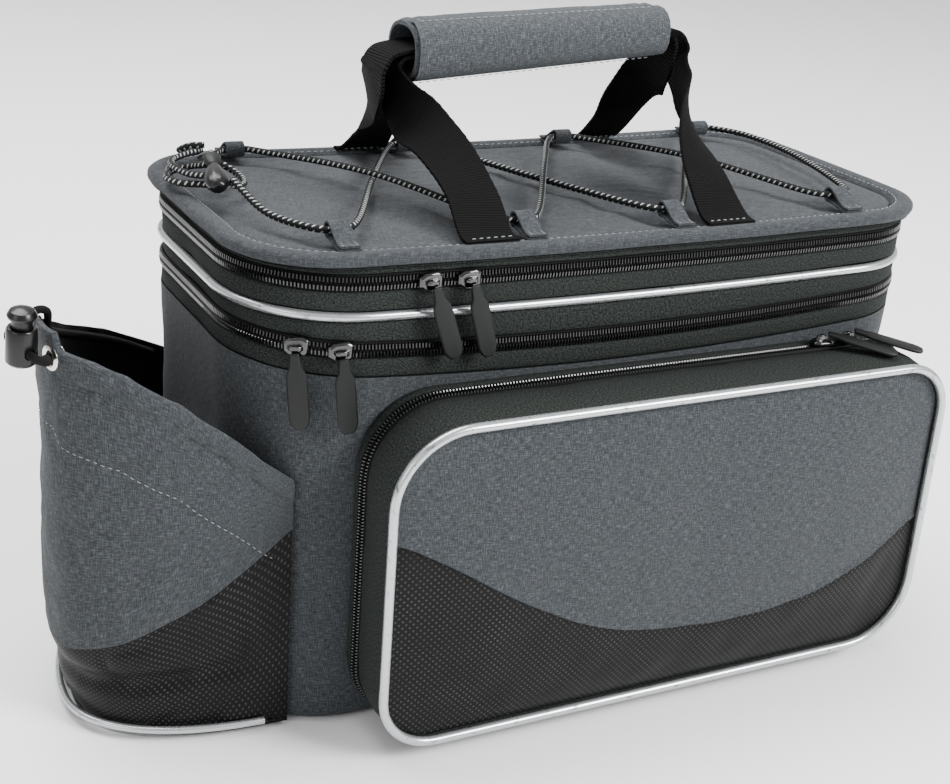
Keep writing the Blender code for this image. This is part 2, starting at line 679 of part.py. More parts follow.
def eyelet_place():
    """Centre of the eyelet on the wall's outer face, and the way out of the wall."""
    line = end_outline(0.0, steps=360)
    place = 180 - round(EYELET_ANGLE * 2)
    ahead = (line[place + 1] - line[place - 1]).normalized()
    return Vector((line[place].x, line[place].y, EYELET_HEIGHT)), Vector((-ahead.y, ahead.x, 0))


def build_end_pocket():
    """Bottle pocket: grey wall with a slanting hem, black foot, base, piping and eyelet."""
    ways = way_along(end_outline(0.0))
    tip = len(ways) // 2

    def hem(place):
        return HEM_HEIGHT * read_table(FRONT_HEM if place < tip else REAR_HEM, ways[place])

    def edge(place):
        return HEM_HEIGHT * read_table(BLACK_EDGE, ways[place])

    def wall_piece(name, low_of, high_of, rows, shade):
        loops = []
        for place in range(len(ways)):
            low, high = low_of(place), high_of(place)
            heights = [mix(low, high, row / rows) for row in range(rows + 1)]
            outer = []
            inner = []
            for z in heights:
                spot = end_outline(0.0, tuck(z))[place]
                outer.append((spot.x, spot.y, z))
                spot = end_outline(-END_WALL, tuck(z))[place]
                inner.append((spot.x, spot.y, z))
            loops.append(outer + inner[::-1])
        return loft(name, loops, shade)

    foot = END_FOOT + END_WALL
    upper = wall_piece("bottle_pocket_wall", edge, hem, 4, GREY_CLOTH)
    wall_piece("bottle_pocket_foot", lambda place: foot + GAP, lambda place: edge(place) - GAP, 3,
               BLACK_RIPSTOP)

    outline = end_outline(0.0, tuck(0.0))
    inner = []
    for step in range(9):
        y = outline[0].y * (1 - step / 4)
        x = -BAG_LENGTH / 2 - GAP
        corner = abs(y) - (BAG_WIDTH / 2 - LEFT_RADIUS)
        if corner > 0:
            reach = LEFT_RADIUS + GAP
            x += reach - math.sqrt(max(reach ** 2 - corner ** 2, 0.0))
        inner.append(Vector((min(x, -END_START), y, 0.0)))
    inner = inner[1:-1][::-1]
    loft("bottle_pocket_base", [[(spot.x, spot.y, z) for spot in outline + inner]
                                for z in (END_FOOT, foot)], BLACK_RIPSTOP)

    bead = POCKET_PIPING * 0.4
    middle = foot + bead
    line = end_outline(bead + GAP, tuck(middle + bead))
    tube("bottle_pocket_piping", [Vector((spot.x, spot.y, middle)) for spot in line[1:-1]],
         2 * bead, SILVER_PIPING)

    centre, outward = eyelet_place()
    across = Vector((0, 0, 1)).cross(outward)
    hole = EYELET_BORE + 0.0009 + GAP
    bpy.ops.mesh.primitive_cylinder_add(vertices=16, radius=hole, depth=0.02)
    cutter = bpy.context.object
    cutter.name = "eyelet_cutter"
    facing = outward.to_track_quat("Z", "Y").to_matrix().to_4x4()
    cutter.matrix_world = Matrix.Translation(centre) @ facing
    cutter.hide_render = True
    cutter.display_type = "WIRE"
    cut = upper.modifiers.new("eyelet_hole", "BOOLEAN")
    cut.object = cutter
    cut.operation = "DIFFERENCE"
    cut.solver = "EXACT"
    loops = []
    sheet = END_WALL + GAP
    barrel = EYELET_BORE + 0.0009
    section = ((EYELET_BORE, 0.0008), (EYELET_BORE + 0.0008, 0.0016), (EYELET_RADIUS, 0.0009),
               (EYELET_RADIUS, GAP * 2), (barrel, GAP * 2), (barrel, -sheet - GAP * 2),
               (EYELET_RADIUS * 0.9, -sheet - GAP * 2), (EYELET_RADIUS * 0.9, -sheet - 0.0011),
               (EYELET_BORE, -sheet - 0.0011))
    for step in range(16):
        turn = 2 * math.pi * step / 16
        way = across * math.cos(turn) + Vector((0, 0, 1)) * math.sin(turn)
        loops.append([centre + way * radius + outward * along for radius, along in section])
    loft("eyelet", loops, EYELET_METAL, closed=True)


def barrel_frame():
    """Axes of the barrel lock: its middle at the cord hole, its axis and the cord's way."""
    centre, outward = eyelet_place()
    axis = Vector((0.02, -0.13, 0.99)).normalized()
    along = Vector((outward.y, -outward.x, 0))
    through = (along - axis * along.dot(axis)).normalized()
    place = centre + outward * (BARREL_DIAMETER / 2 + 0.0070) + Vector((0.0, 0.0, 0.0065))
    return place, axis, through


def turned(name, rows, place, axis, shade, sides=14):
    """A turned solid from rows (radius, height along the axis), with flat ends."""
    turn_to = axis.to_track_quat("Z", "Y").to_matrix().to_4x4()
    loops = []
    for radius, height in rows:
        loop = []
        for step in range(sides):
            turn = 2 * math.pi * step / sides
            loop.append(Vector((radius * math.cos(turn), radius * math.sin(turn), height)))
        loops.append(loop)
    thing = loft(name, loops, shade)
    thing.matrix_world = Matrix.Translation(place) @ turn_to
    return thing


def build_barrel_lock():
    """Spring lock on the hem's elastic: a barrel with a sprung button, both cross-bored."""
    place, axis, through = barrel_frame()
    hole = ELASTIC_DIAMETER / 2 + 0.0006
    bore = PLUNGER_DIAMETER / 2 + GAP
    radius = BARREL_DIAMETER / 2
    up = BARREL_HEIGHT * 0.62
    down = BARREL_HEIGHT * 0.38
    body = turned("barrel_lock", (
        (radius * 0.84, -down), (radius, -down + 0.0012), (radius * 0.97, up - 0.0008),
        (radius * 0.90, up), (bore, up), (bore, -down + 0.0016 + LOCK_TRAVEL * 0.2)),
        place, axis, LOCK_PLASTIC)
    shaft = PLUNGER_DIAMETER / 2
    seat = up + LOCK_TRAVEL + 0.0006
    cap = BUTTON_DIAMETER / 2
    low = -down + 0.0016 + LOCK_TRAVEL * 1.25
    button = turned("barrel_lock_button", (
        (shaft, low), (shaft, seat), (cap * 0.92, seat + 0.0004), (cap, seat + BUTTON_HEIGHT * 0.35),
        (cap * 0.82, seat + BUTTON_HEIGHT * 0.78), (cap * 0.35, seat + BUTTON_HEIGHT)),
        place, axis, LOCK_PLASTIC)
    for thing, rise in ((body, 0.0), (button, LOCK_TRAVEL)):
        loops = []
        for away in (-0.012, 0.012):
            loop = []
            for step in range(12):
                turn = 2 * math.pi * step / 12
                lift = rise if math.sin(turn) > 1e-6 else 0.0
                loop.append(Vector((hole * math.cos(turn), away, hole * math.sin(turn) + lift)))
            loops.append(loop)
        cutter = loft(thing.name + "_cutter", loops, LOCK_PLASTIC)
        side = axis.cross(through).normalized()
        frame = Matrix((side, through, axis)).transposed().to_4x4()
        cutter.matrix_world = Matrix.Translation(place) @ frame
        cutter.hide_render = True
        cutter.display_type = "WIRE"
        cut = thing.modifiers.new("cord_hole", "BOOLEAN")
        cut.object = cutter
        cut.operation = "DIFFERENCE"
        cut.solver = "EXACT"


def build_hem_cord():
    """Elastic from inside the pocket, out through the eyelet and lock and back over the hem."""
    place, axis, through = barrel_frame()
    centre, outward = eyelet_place()
    reach = BARREL_DIAMETER / 2
    away = BARREL_DIAMETER / 2 + 0.0070
    line = end_outline(-END_WALL - ELASTIC_DIAMETER / 2 - 2 * GAP, steps=40)
    ways = way_along(line)
    inside = centre - outward * (END_WALL + 0.0060)
    hem = HEM_HEIGHT + ELASTIC_DIAMETER / 2 + 2 * GAP
    over = end_outline(0.0, steps=40)[20]
    lift = Vector((0.0, 0.0, (place.z - centre.z) / away))
    knots = [inside + Vector((0.0, 0.0, -0.014)), inside + Vector((0, 0, -0.004)),
             centre - outward * 0.001, centre + outward * 0.003]
    # Way from the eyelet round to the lock's bore: out of the wall, along it
    for out, back in ((0.0055, 0.0050), (0.0090, 0.0102), (0.0128, 0.0098)):
        knots.append(centre + (outward + lift) * out - through * back)
    knots += [place - through * (reach + 0.0008), place + through * (reach + 0.0008),
              place + through * (reach + 0.0045) + Vector((0.0008, 0.0, 0.0012)),
              Vector((over.x - 0.0040, over.y + 0.002, hem - 0.001)),
              Vector((over.x + 0.0010, over.y + 0.005, hem + 0.0010)),
              Vector((over.x + END_WALL + ELASTIC_DIAMETER / 2 + 0.0012, over.y + 0.009, hem - 0.0010))]
    for place_in in (25, 28, 31, 34, 37):
        drop = HEM_HEIGHT * read_table(REAR_HEM, ways[place_in])
        knots.append(Vector((line[place_in].x, line[place_in].y, drop - 0.004)))
    tube("hem_cord", smooth_curve(knots, 2), ELASTIC_DIAMETER, BLACK_WEBBING)


# Zip sliders: place along the zip and the way the pull tab hangs.
# Columns: name, which zip, x as a share of BAG_LENGTH, side turn of the tab in degrees
SLIDERS = (
    ("lid_left", "lid_zip", -0.284, 19.0),
    ("lid_right", "lid_zip", -0.233, 16.0),
    ("expansion_left", "lower_zip", -0.438, 6.0),
    ("expansion_right", "lower_zip", -0.392, 6.0),
)


def slider_and_pull(name, place, normal, along, hang, reach_out):
    """A slider on the zip at place, and a rubber pull tab that hangs reach_out from its middle."""
    normal = normal.normalized()
    along = (along - normal * along.dot(normal)).normalized()
    across = normal.cross(along)
    half, side = SLIDER_LENGTH / 2, SLIDER_WIDTH / 2
    base = SLIDER_CLEARANCE
    # Plan of the slider: share of half its length, share of half its width
    plan = ((-1.0, 0.45), (-0.55, 0.85), (0.55, 1.0), (1.0, 0.70), (1.0, -0.70), (0.55, -1.0),
            (-0.55, -0.85), (-1.0, -0.45))
    loops = []
    for lift, shrink in ((base, 1.0), (base + SLIDER_THICK * 0.7, 1.0), (base + SLIDER_THICK, 0.80)):
        loops.append([place + along * x * half * shrink + across * y * side * shrink + normal * lift
                      for x, y in plan])
    top = base + SLIDER_THICK
    bail = ((0.0, 0.62), (0.75, 0.50), (1.0, 0.30))
    for lift, reach in bail:
        loops.append([place + along * x * half * reach + across * y * side * 0.30 + normal
                      * (top + lift * BAIL_HEIGHT) for x, y in plan])
    loft(name + "_slider", loops, SLIDER_METAL)

    hang = hang.normalized()
    pin = place + normal * (top + BAIL_HEIGHT + GAP + PULL_THICK / 2) + hang * reach_out
    wide = normal.cross(hang).normalized()
    face = hang.cross(wide)
    thick = PULL_THICK / 2
    # Outline of the pull tab: share of its length, share of half its width
    shape = ((0.00, 0.42), (0.06, 0.50), (0.16, 0.56), (0.26, 0.94), (0.40, 1.0), (0.86, 1.0),
             (0.95, 0.80), (1.00, 0.42))
    outline = [(x, y) for x, y in shape] + [(x, -y) for x, y in shape[::-1]]
    loops = []
    for lift, shrink in ((-thick, 0.86), (-thick * 0.5, 1.0), (thick * 0.5, 1.0), (thick, 0.86)):
        loop = []
        for x, y in outline:
            reach = mix(0.5, x, 1 - (1 - shrink) * 0.2) * PULL_LENGTH
            loop.append(hang * reach + wide * y * shrink * PULL_WIDTH / 2 + face * lift)
        loops.append(loop)
    pull = loft(name + "_pull", loops, RUBBER)
    pull.location = pin


def build_sliders():
    """Sliders and pull tabs of the lid zip, the expansion zip and the side pocket."""
    plan_out = -0.0004
    for name, seam, x_share, turn in SLIDERS:
        x = x_share * BAG_LENGTH
        outline = [Vector((px, py, 0)) for px, py in bag_plan(plan_out)]
        front = [(one, two) for one, two in zip(outline, outline[1:])
                 if one.x <= x <= two.x and two.y < 0]
        one, two = front[0]
        spot = one.lerp(two, (x - one.x) / (two.x - one.x))
        along = (two - one).normalized()
        normal = Vector((along.y, -along.x, 0))
        spot.z = seam_height(seam, x)
        swing = math.radians(turn)
        hang = Vector((0, 0, -math.cos(swing))) + along * math.sin(swing)
        slider_and_pull(name, spot, normal, along, hang, SLIDER_WIDTH * 0.15)
    away = BAG_WIDTH / 2 + GAP + BACK_GUSSET + GAP + ZIP_HEIGHT / 2
    right = POCKET_OFFSET + POCKET_LENGTH / 2 - POCKET_TOP_RIGHT_RADIUS
    top = POCKET_FOOT + POCKET_HEIGHT - POCKET_DROOP * (away - BAG_WIDTH / 2) / POCKET_DEPTH
    for name, back in (("pocket_left", 0.0285), ("pocket_right", 0.0130)):
        spot = Vector((right - back, -away, top))
        slider_and_pull(name, spot, Vector((0, 0, 1)), Vector((1, 0, 0)), Vector((0.75, -0.58, -0.17)),
                        SLIDER_LENGTH * 0.27)


build_body()
build_bands()
build_lid()
build_handle()
build_tabs()
build_lacing()
build_side_pocket()
build_end_pocket()
build_barrel_lock()
build_hem_cord()
build_sliders()
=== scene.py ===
# Bicycle trunk bag: a padded grey body under dark bands, two coil zips and a laced lid,
# with a wrapped handle, a zipped side pocket and an open bottle pocket round the left end.
# X runs along the bag, -Y faces the side pocket and Z is up, in metres.
import json
import math

import bmesh
import bpy
from mathutils import Matrix, Vector, noise

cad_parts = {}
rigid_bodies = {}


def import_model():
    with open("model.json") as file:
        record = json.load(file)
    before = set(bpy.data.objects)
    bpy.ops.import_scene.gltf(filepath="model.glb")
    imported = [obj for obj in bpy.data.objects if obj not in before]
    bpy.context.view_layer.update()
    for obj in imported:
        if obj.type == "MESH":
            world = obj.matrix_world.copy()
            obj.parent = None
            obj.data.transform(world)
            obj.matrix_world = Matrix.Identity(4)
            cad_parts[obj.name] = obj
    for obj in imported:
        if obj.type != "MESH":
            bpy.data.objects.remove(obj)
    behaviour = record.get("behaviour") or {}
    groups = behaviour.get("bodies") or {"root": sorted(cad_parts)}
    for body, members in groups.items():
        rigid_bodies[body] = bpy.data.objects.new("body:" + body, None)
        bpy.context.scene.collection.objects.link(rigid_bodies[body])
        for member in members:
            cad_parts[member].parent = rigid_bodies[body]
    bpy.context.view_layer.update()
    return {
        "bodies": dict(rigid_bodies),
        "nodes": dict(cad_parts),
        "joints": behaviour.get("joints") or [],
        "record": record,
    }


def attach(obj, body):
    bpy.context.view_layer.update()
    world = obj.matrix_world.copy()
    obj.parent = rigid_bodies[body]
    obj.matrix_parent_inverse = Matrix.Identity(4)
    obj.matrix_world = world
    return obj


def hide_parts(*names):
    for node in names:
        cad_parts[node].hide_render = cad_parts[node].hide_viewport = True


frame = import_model()

# The photograph's view: a long lens from the left of the side pocket, a little above the lid.
VIEW_RIGHT = Vector((0.88978, -0.45100, 0.06998))
VIEW_UP = Vector((0.11153, 0.36355, 0.92488))
VIEW_BACK = Vector((-0.4425, -0.8151, 0.3738))
VIEW_PLACE = (-0.36907, -0.63175, 0.40273)
FOCAL_LENGTH = 59.96
view = bpy.data.objects.new("view", bpy.data.cameras.new("view"))
bpy.context.collection.objects.link(view)
view.data.lens = FOCAL_LENGTH
view.data.sensor_width = 36
view.data.clip_start = 0.02
view.matrix_world = Matrix((VIEW_RIGHT, VIEW_UP, VIEW_BACK)).transposed().to_4x4()
view.location = VIEW_PLACE
bpy.context.scene.camera = view

# Body: a tub of grey melange polyester over foam, open at the top where the bands are sewn on.
# The cloth is cut in flat panels, so it dents softly between its sewn corners.
BAG_LENGTH = 0.342
BAG_WIDTH = 0.169
BAG_HEIGHT = 0.218
LEFT_RADIUS = 0.050
RIGHT_RADIUS = 0.039
FLOOR_EDGE_RADIUS = 0.007
PADDED_WALL = 0.004
GAP = 0.0003
# Height at the corners and dip at mid-length, as shares of BAG_HEIGHT
SEAMS = {
    "band_foot": (0.7740, 0.0420),
    "lower_zip": (0.8260, 0.0400),
    "piping": (0.8800, 0.0150),
    "lid_zip": (0.9440, 0.0130),
    "lid_edge": (1.0000, 0.0110),
}


def mix(start, stop, share):
    return start + (stop - start) * share


def new_object(name, data):
    """A new object in the scene with this mesh or lamp."""
    made = bpy.data.objects.new(name, data)
    bpy.context.collection.objects.link(made)
    return made


def from_hex(code):
    """An sRGB hex colour as the linear colour that the shaders take."""
    values = [int(code[place:place + 2], 16) / 255 for place in (0, 2, 4)]
    return tuple(v / 12.92 if v <= 0.04045 else ((v + 0.055) / 1.055) ** 2.4 for v in values) + (1.0,)


def add(tree, kind, settings=None, links=None):
    """Adds a shader node with its settings (properties or socket values) and its links."""
    made = tree.nodes.new(kind)
    for name, value in (settings or {}).items():
        if isinstance(name, str) and hasattr(made, name):
            setattr(made, name, value)
        else:
            made.inputs[name].default_value = value
    for name, source in (links or {}).items():
        tree.links.new(source, made.inputs[name])
    return made


def cloth_map(tree, along_mm, across_mm, turn=0.0):
    """Coordinates that count threads: one unit is along_mm by across_mm of the cloth."""
    flat = add(tree, "ShaderNodeUVMap", {"uv_map": "cloth"})
    sized = add(tree, "ShaderNodeMapping", {"Scale": (1000 / along_mm, 1000 / across_mm, 1.0),
                                            "Rotation": (0.0, 0.0, math.radians(turn))},
                {"Vector": flat.outputs["UV"]})
    return sized.outputs["Vector"]


def finish_of(name, roughness, metallic=0.0, colour=None, **extra):
    """A new material with its Principled shader set up; returns material, tree and shader."""
    made = bpy.data.materials.new(name)
    made.use_nodes = True
    shader = made.node_tree.nodes["Principled BSDF"]
    shader.inputs["Roughness"].default_value = roughness
    shader.inputs["Metallic"].default_value = metallic
    if colour:
        shader.inputs["Base Color"].default_value = from_hex(colour)
    for socket, value in extra.items():
        shader.inputs[socket.replace("_", " ")].default_value = value
    return made, made.node_tree, shader


def two_tone(tree, shader, share, dark, light):
    """Colours the shader from dark to light as share goes from 0 to 1."""
    tone = add(tree, "ShaderNodeMix", {"data_type": "RGBA", 6: from_hex(dark), 7: from_hex(light)},
               {0: share})
    tree.links.new(tone.outputs[2], shader.inputs["Base Color"])


def ramp_tone(tree, shader, share, low, high, middle=None):
    """Colours the shader by share through stops, each a share and a colour."""
    ramp = add(tree, "ShaderNodeValToRGB", {}, {"Fac": share})
    stops = ramp.color_ramp.elements
    for stop, (place, colour) in zip(stops, (low, high)):
        stop.position, stop.color = place, from_hex(colour)
    if middle:
        stops.new(middle[0]).color = from_hex(middle[1])
    tree.links.new(ramp.outputs["Color"], shader.inputs["Base Color"])


def emboss(tree, shader, height, strength, distance):
    """Raises the shader's surface by height, with distance in metres."""
    bump = add(tree, "ShaderNodeBump", {"Strength": strength, "Distance": distance},
               {"Height": height})
    tree.links.new(bump.outputs["Normal"], shader.inputs["Normal"])


def melange(name, dark, middle, light, streak_mm):
    """Woven melange polyester: dyed and undyed yarns side by side, so that short pale and dark
    streaks some millimetres long cross on a matt grey ground. The yarns are drawn coarser than
    real ones."""
    made, tree, shader = finish_of(name, 0.90, Sheen_Weight=0.05, Specular_IOR_Level=0.2)
    weft, warp = (add(tree, "ShaderNodeTexNoise", {"noise_dimensions": "2D", "Scale": 1.0,
                                                   "Detail": 3.0, "Roughness": 0.65},
                      {"Vector": cloth_map(tree, *thread_mm)})
                  for thread_mm in ((streak_mm, 0.42), (0.45, streak_mm * 0.8)))
    both = add(tree, "ShaderNodeMath", {"operation": "ADD"},
               {0: weft.outputs["Fac"], 1: warp.outputs["Fac"]})
    half = add(tree, "ShaderNodeMath", {"operation": "MULTIPLY", 1: 0.5}, {0: both.outputs[0]})
    ramp_tone(tree, shader, half.outputs[0], (0.34, dark), (0.66, light), (0.50, middle))
    emboss(tree, shader, half.outputs[0], 0.35, 0.0004)
    return made


def skin(name, rows, shade, around=False, along=False, caps=False, turn=False, smooth=50,
         second=None, is_second=None):
    """A skin through rows of points, with the cloth's own lengths in metres as its UV map.
    around closes each row, along joins the last row to the first, turn lays the weft along the
    rows' direction, and is_second picks the faces that take the second material."""
    count, lines = len(rows[0]), len(rows)
    points = [Vector(point) for row in rows for point in row]
    across, down = [0.0], [0.0]
    for step in range(count):
        here = [points[row * count + step] for row in range(0, lines, max(lines // 6, 1))]
        there = [points[row * count + (step + 1) % count] for row in range(0, lines, max(lines // 6, 1))]
        across.append(across[-1] + sum((b - a).length for a, b in zip(here, there)) / len(here))
    for row in range(lines):
        here = points[row * count:(row + 1) * count:max(count // 6, 1)]
        below = (row + 1) % lines
        there = points[below * count:(below + 1) * count:max(count // 6, 1)]
        down.append(down[-1] + sum((b - a).length for a, b in zip(here, there)) / len(here))
    faces, corners, kinds = [], [], []
    for row in range(lines if along else lines - 1):
        below = (row + 1) % lines
        for step in range(count if around else count - 1):
            after = (step + 1) % count
            faces.append((row * count + step, row * count + after, below * count + after,
                          below * count + step))
            corners += [(across[step], down[row]), (across[step + 1], down[row]),
                        (across[step + 1], down[row + 1]), (across[step], down[row + 1])]
            kinds.append(1 if is_second and is_second(row, step) else 0)
    if caps:
        for start in (0, (lines - 1) * count):
            faces.append(tuple(start + step for step in range(count)))
            corners += [(points[start + step].x + points[start + step].y, points[start + step].z)
                        for step in range(count)]
            kinds.append(0)
    mesh = bpy.data.meshes.new(name)
    mesh.from_pydata([tuple(point) for point in points], [], faces)
    cloth = mesh.uv_layers.new(name="cloth")
    flat = []
    for u, v in corners:
        flat += [v, u] if turn else [u, v]
    cloth.data.foreach_set("uv", flat)
    mesh.materials.append(shade)
    if second:
        mesh.materials.append(second)
        mesh.polygons.foreach_set("material_index", kinds)
    work = bmesh.new()
    work.from_mesh(mesh)
    bmesh.ops.recalc_face_normals(work, faces=work.faces)
    if (around and (along or caps)) and work.calc_volume(signed=True) < 0:
        bmesh.ops.reverse_faces(work, faces=work.faces)
    work.to_mesh(mesh)
    work.free()
    mesh.shade_smooth()
    mesh.set_sharp_from_angle(angle=math.radians(smooth))
    return new_object(name, mesh)


def rounded_plan(length, width, radii, out=0.0, arc=12, pitch=0.0045):
    """A rounded rectangle about the origin. radii: low left, low right, high right, high left."""
    low_left, low_right, high_right, high_left = radii
    corners = (
        (-length / 2 + low_left, -width / 2 + low_left, low_left, 180),
        (length / 2 - low_right, -width / 2 + low_right, low_right, 270),
        (length / 2 - high_right, width / 2 - high_right, high_right, 0),
        (-length / 2 + high_left, width / 2 - high_left, high_left, 90),
    )
    arcs = []
    for x, y, radius, angle in corners:
        reach = radius + out
        arcs.append([(x + reach * math.cos(math.radians(angle + 90 * step / arc)),
                      y + reach * math.sin(math.radians(angle + 90 * step / arc)))
                     for step in range(arc + 1)])
    points = []
    for place, bend in enumerate(arcs):
        points += bend
        start, stop = bend[-1], arcs[(place + 1) % 4][0]
        room = (length - low_left - low_right, width - low_right - high_right,
                length - high_right - high_left, width - high_left - low_left)[place]
        steps = max(round(room / pitch), 2)
        points += [(mix(start[0], stop[0], step / steps), mix(start[1], stop[1], step / steps))
                   for step in range(1, steps)]
    return points


def bag_plan(out=0.0):
    radii = (LEFT_RADIUS, RIGHT_RADIUS, RIGHT_RADIUS, LEFT_RADIUS)
    return rounded_plan(BAG_LENGTH, BAG_WIDTH, radii, out)


def seam_height(seam, x):
    """Height of a seam of the bands above the floor, lowest at mid-length."""
    corner, dip = SEAMS[seam]
    off_middle = min(abs(x) / (BAG_LENGTH / 2), 1.0)
    return BAG_HEIGHT * (corner - dip * (1 - off_middle ** 2))


def soft(point, size, seed=0.0):
    """Smooth hills and hollows between -1 and 1, size metres apart."""
    return noise.noise(Vector(point) / size + Vector((seed, seed * 1.7, seed * 2.3)))


def own(piece, slot, *nodes, body="bag"):
    """The piece stands for these solids and rides on their body. slot is not used."""
    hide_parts(*nodes)
    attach(piece, body)
    return piece


BODY_CLOTH = melange("woven melange polyester", "1F2223", "2F3235", "4B4F52", 3.6)
# Lining: plain dark polyester taffeta, which only shows as a dull shade inside
LINING, lining_tree, lining_shader = finish_of("dark polyester taffeta", 0.8, Specular_IOR_Level=0.2)
taffeta = add(lining_tree, "ShaderNodeTexNoise", {"Scale": 1.0, "Detail": 2.0},
              {"Vector": cloth_map(lining_tree, 2.0, 0.5)})
two_tone(lining_tree, lining_shader, taffeta.outputs["Fac"], "0B0C0D", "17191B")

body_rows = []
edge = FLOOR_EDGE_RADIUS
for out, height in ((-edge, 0.0), (-edge * 0.62, edge * 0.08), (-edge * 0.3, edge * 0.3),
                    (-edge * 0.08, edge * 0.62), (0.0, edge)):
    body_rows.append([Vector((x, y, height)) for x, y in bag_plan(out)])
for step in range(1, 34):
    row = []
    for x, y in bag_plan(0.0):
        top = seam_height("band_foot", x) - GAP
        z = mix(edge, top, step / 33)
        swell = math.sin(math.pi * step / 33)
        dent = 0.0009 * soft((x, y, z), 0.035) + 0.0004 * soft((x, y, z), 0.012, 3.0)
        # Seam down each left corner, where the front panel meets the end panel
        crease = math.exp(-((x + 0.1385) / 0.0026) ** 2) * 0.0010 if y < 0 else 0.0
        inward = min(dent - 0.0007, 0.0) * min(swell * 2, 1) - crease * min(swell * 3, 1)
        share = inward / (BAG_WIDTH / 2)
        row.append(Vector((x * (1 + share * 0.6), y * (1 + share), z)))
    body_rows.append(row)
outer_count = len(body_rows)
for height in (1.0, 0.5, 0.0):
    tuck_in = PADDED_WALL + (edge * 0.4 if height == 0 else 0.0)
    row = []
    for x, y in bag_plan(-tuck_in):
        top = seam_height("band_foot", x) - GAP
        row.append(Vector((x, y, mix(PADDED_WALL, top, height))))
    body_rows.append(row)
body = skin("body", body_rows, BODY_CLOTH, around=True, caps=True, second=LINING,
            is_second=lambda row, step: row >= outer_count - 1)
own(body, "grey_melange_cloth", "main_body")

# Bands: dark polyester tape, woven fine and flat, sewn between the zips and the piping.
# It is stiff, so it only waves a little between its two seams.
BAND_WALL = 0.0026
ZIP_HEIGHT = 0.0068
ZIP_WALL = 0.0020
PIPING_HEIGHT = 0.0040
PIPING_PROUD = 0.0016
LID_OVERHANG = 0.0024
LID_LEFT_RADIUS = 0.042
LID_RIGHT_RADIUS = 0.038
RIM_HEIGHT = 0.0045

# Woven tape: spun black and olive grey threads, so it is matt with a fine pale fleck
BAND_CLOTH, band_tree, band_shader = finish_of("woven polyester tape", 0.92, Specular_IOR_Level=0.15)
fleck = add(band_tree, "ShaderNodeTexNoise", {"noise_dimensions": "2D", "Scale": 1.0, "Detail": 2.0,
                                              "Roughness": 0.7},
            {"Vector": cloth_map(band_tree, 0.9, 0.7)})
ramp_tone(band_tree, band_shader, fleck.outputs["Fac"], (0.36, "0E100F"), (0.72, "303532"))
emboss(band_tree, band_shader, fleck.outputs["Fac"], 0.5, 0.0003)


def lid_plan(out=0.0):
    """Plan of the lid's rim, point for point beside bag_plan."""
    radii = (LID_LEFT_RADIUS, LID_RIGHT_RADIUS, LID_RIGHT_RADIUS, LID_LEFT_RADIUS)
    room = 2 * LID_OVERHANG
    line = rounded_plan(BAG_LENGTH + room, BAG_WIDTH + room, radii, out)
    return spread(line, len(bag_plan()))


def spread(line, count):
    """The closed line cut into count equal steps, from its first point."""
    lengths = [0.0]
    ring = line + line[:1]
    for one, two in zip(ring, ring[1:]):
        lengths.append(lengths[-1] + math.dist(one, two))
    points, place = [], 0
    for step in range(count):
        at = lengths[-1] * step / count
        while lengths[place + 1] < at:
            place += 1
        share = (at - lengths[place]) / max(lengths[place + 1] - lengths[place], 1e-9)
        points.append(tuple(mix(a, b, share) for a, b in zip(ring[place], ring[place + 1])))
    return points


def even_bag_plan(out=0.0):
    return spread(bag_plan(out), len(bag_plan()))


def band_ring(name, profile, shade, wave=0.0, smooth=50):
    """A ring round the bag. profile rows: (plan, out from that plan, seam, height above it)."""
    rows = []
    for plan, out, seam, above in profile:
        row = []
        for x, y in plan(out):
            z = seam_height(seam, x) + above if isinstance(seam, str) else seam(x)
            push = 1 + wave * min(soft((x, y, z), 0.030, 5.0), 0.0) / (BAG_WIDTH / 2)
            row.append(Vector((x * push, y * push, z)))
        rows.append(row)
    return skin(name, rows, shade, around=True, along=True, smooth=smooth)


def band(name, node, low, low_above, high, high_above, top_plan=even_bag_plan, top_out=0.0):
    """One tape, folded to a soft edge at both seams."""
    fold = 0.0007
    thick = BAND_WALL
    rows = [(even_bag_plan, -thick, low, low_above), (even_bag_plan, -fold, low, low_above),
            (even_bag_plan, 0.0, low, low_above + fold)]
    for share in (0.33, 0.66):
        rows.append((even_bag_plan, top_out * share, lambda x, share=share: mix(
            seam_height(low, x) + low_above, seam_height(high, x) + high_above, share), 0.0))
    rows += [(top_plan, top_out, high, high_above - fold),
             (top_plan, top_out - fold, high, high_above), (top_plan, top_out - thick, high, high_above)]
    piece = band_ring(name, rows, BAND_CLOTH, wave=0.0008)
    return own(piece, "dark_band_cloth", node)


zip_half = ZIP_HEIGHT / 2
bead = PIPING_HEIGHT / 2
band("lower_tape", "lower_band", "band_foot", 0.0, "lower_zip", -zip_half - GAP)
band("middle_tape", "middle_band", "lower_zip", zip_half + GAP, "piping", -bead - GAP)
band("upper_tape", "upper_band", "piping", bead + GAP, "lid_zip", -zip_half - GAP)
band("lid_tape", "lid_band", "lid_zip", zip_half + GAP, "lid_edge", -RIM_HEIGHT - GAP,
     lid_plan, -0.0006)

# Zips: a woven tape and, down its middle, a chain of two rows of black nylon coil that shines.
# The lower one lets the bag grow taller and the upper one opens the lid.
COIL_PITCH = 0.0015
# Zip tape: black polyester, quite matt, so that only the coil on it shines
ZIP_TAPE = finish_of("black zip tape", 0.85, colour="0A0B0B", Specular_IOR_Level=0.15)[0]
# Nylon coil: black monofilament, smooth enough that every loop carries a small highlight
NYLON = finish_of("black nylon coil", 0.26, colour="0C0C0D", Coat_Weight=0.4)[0]


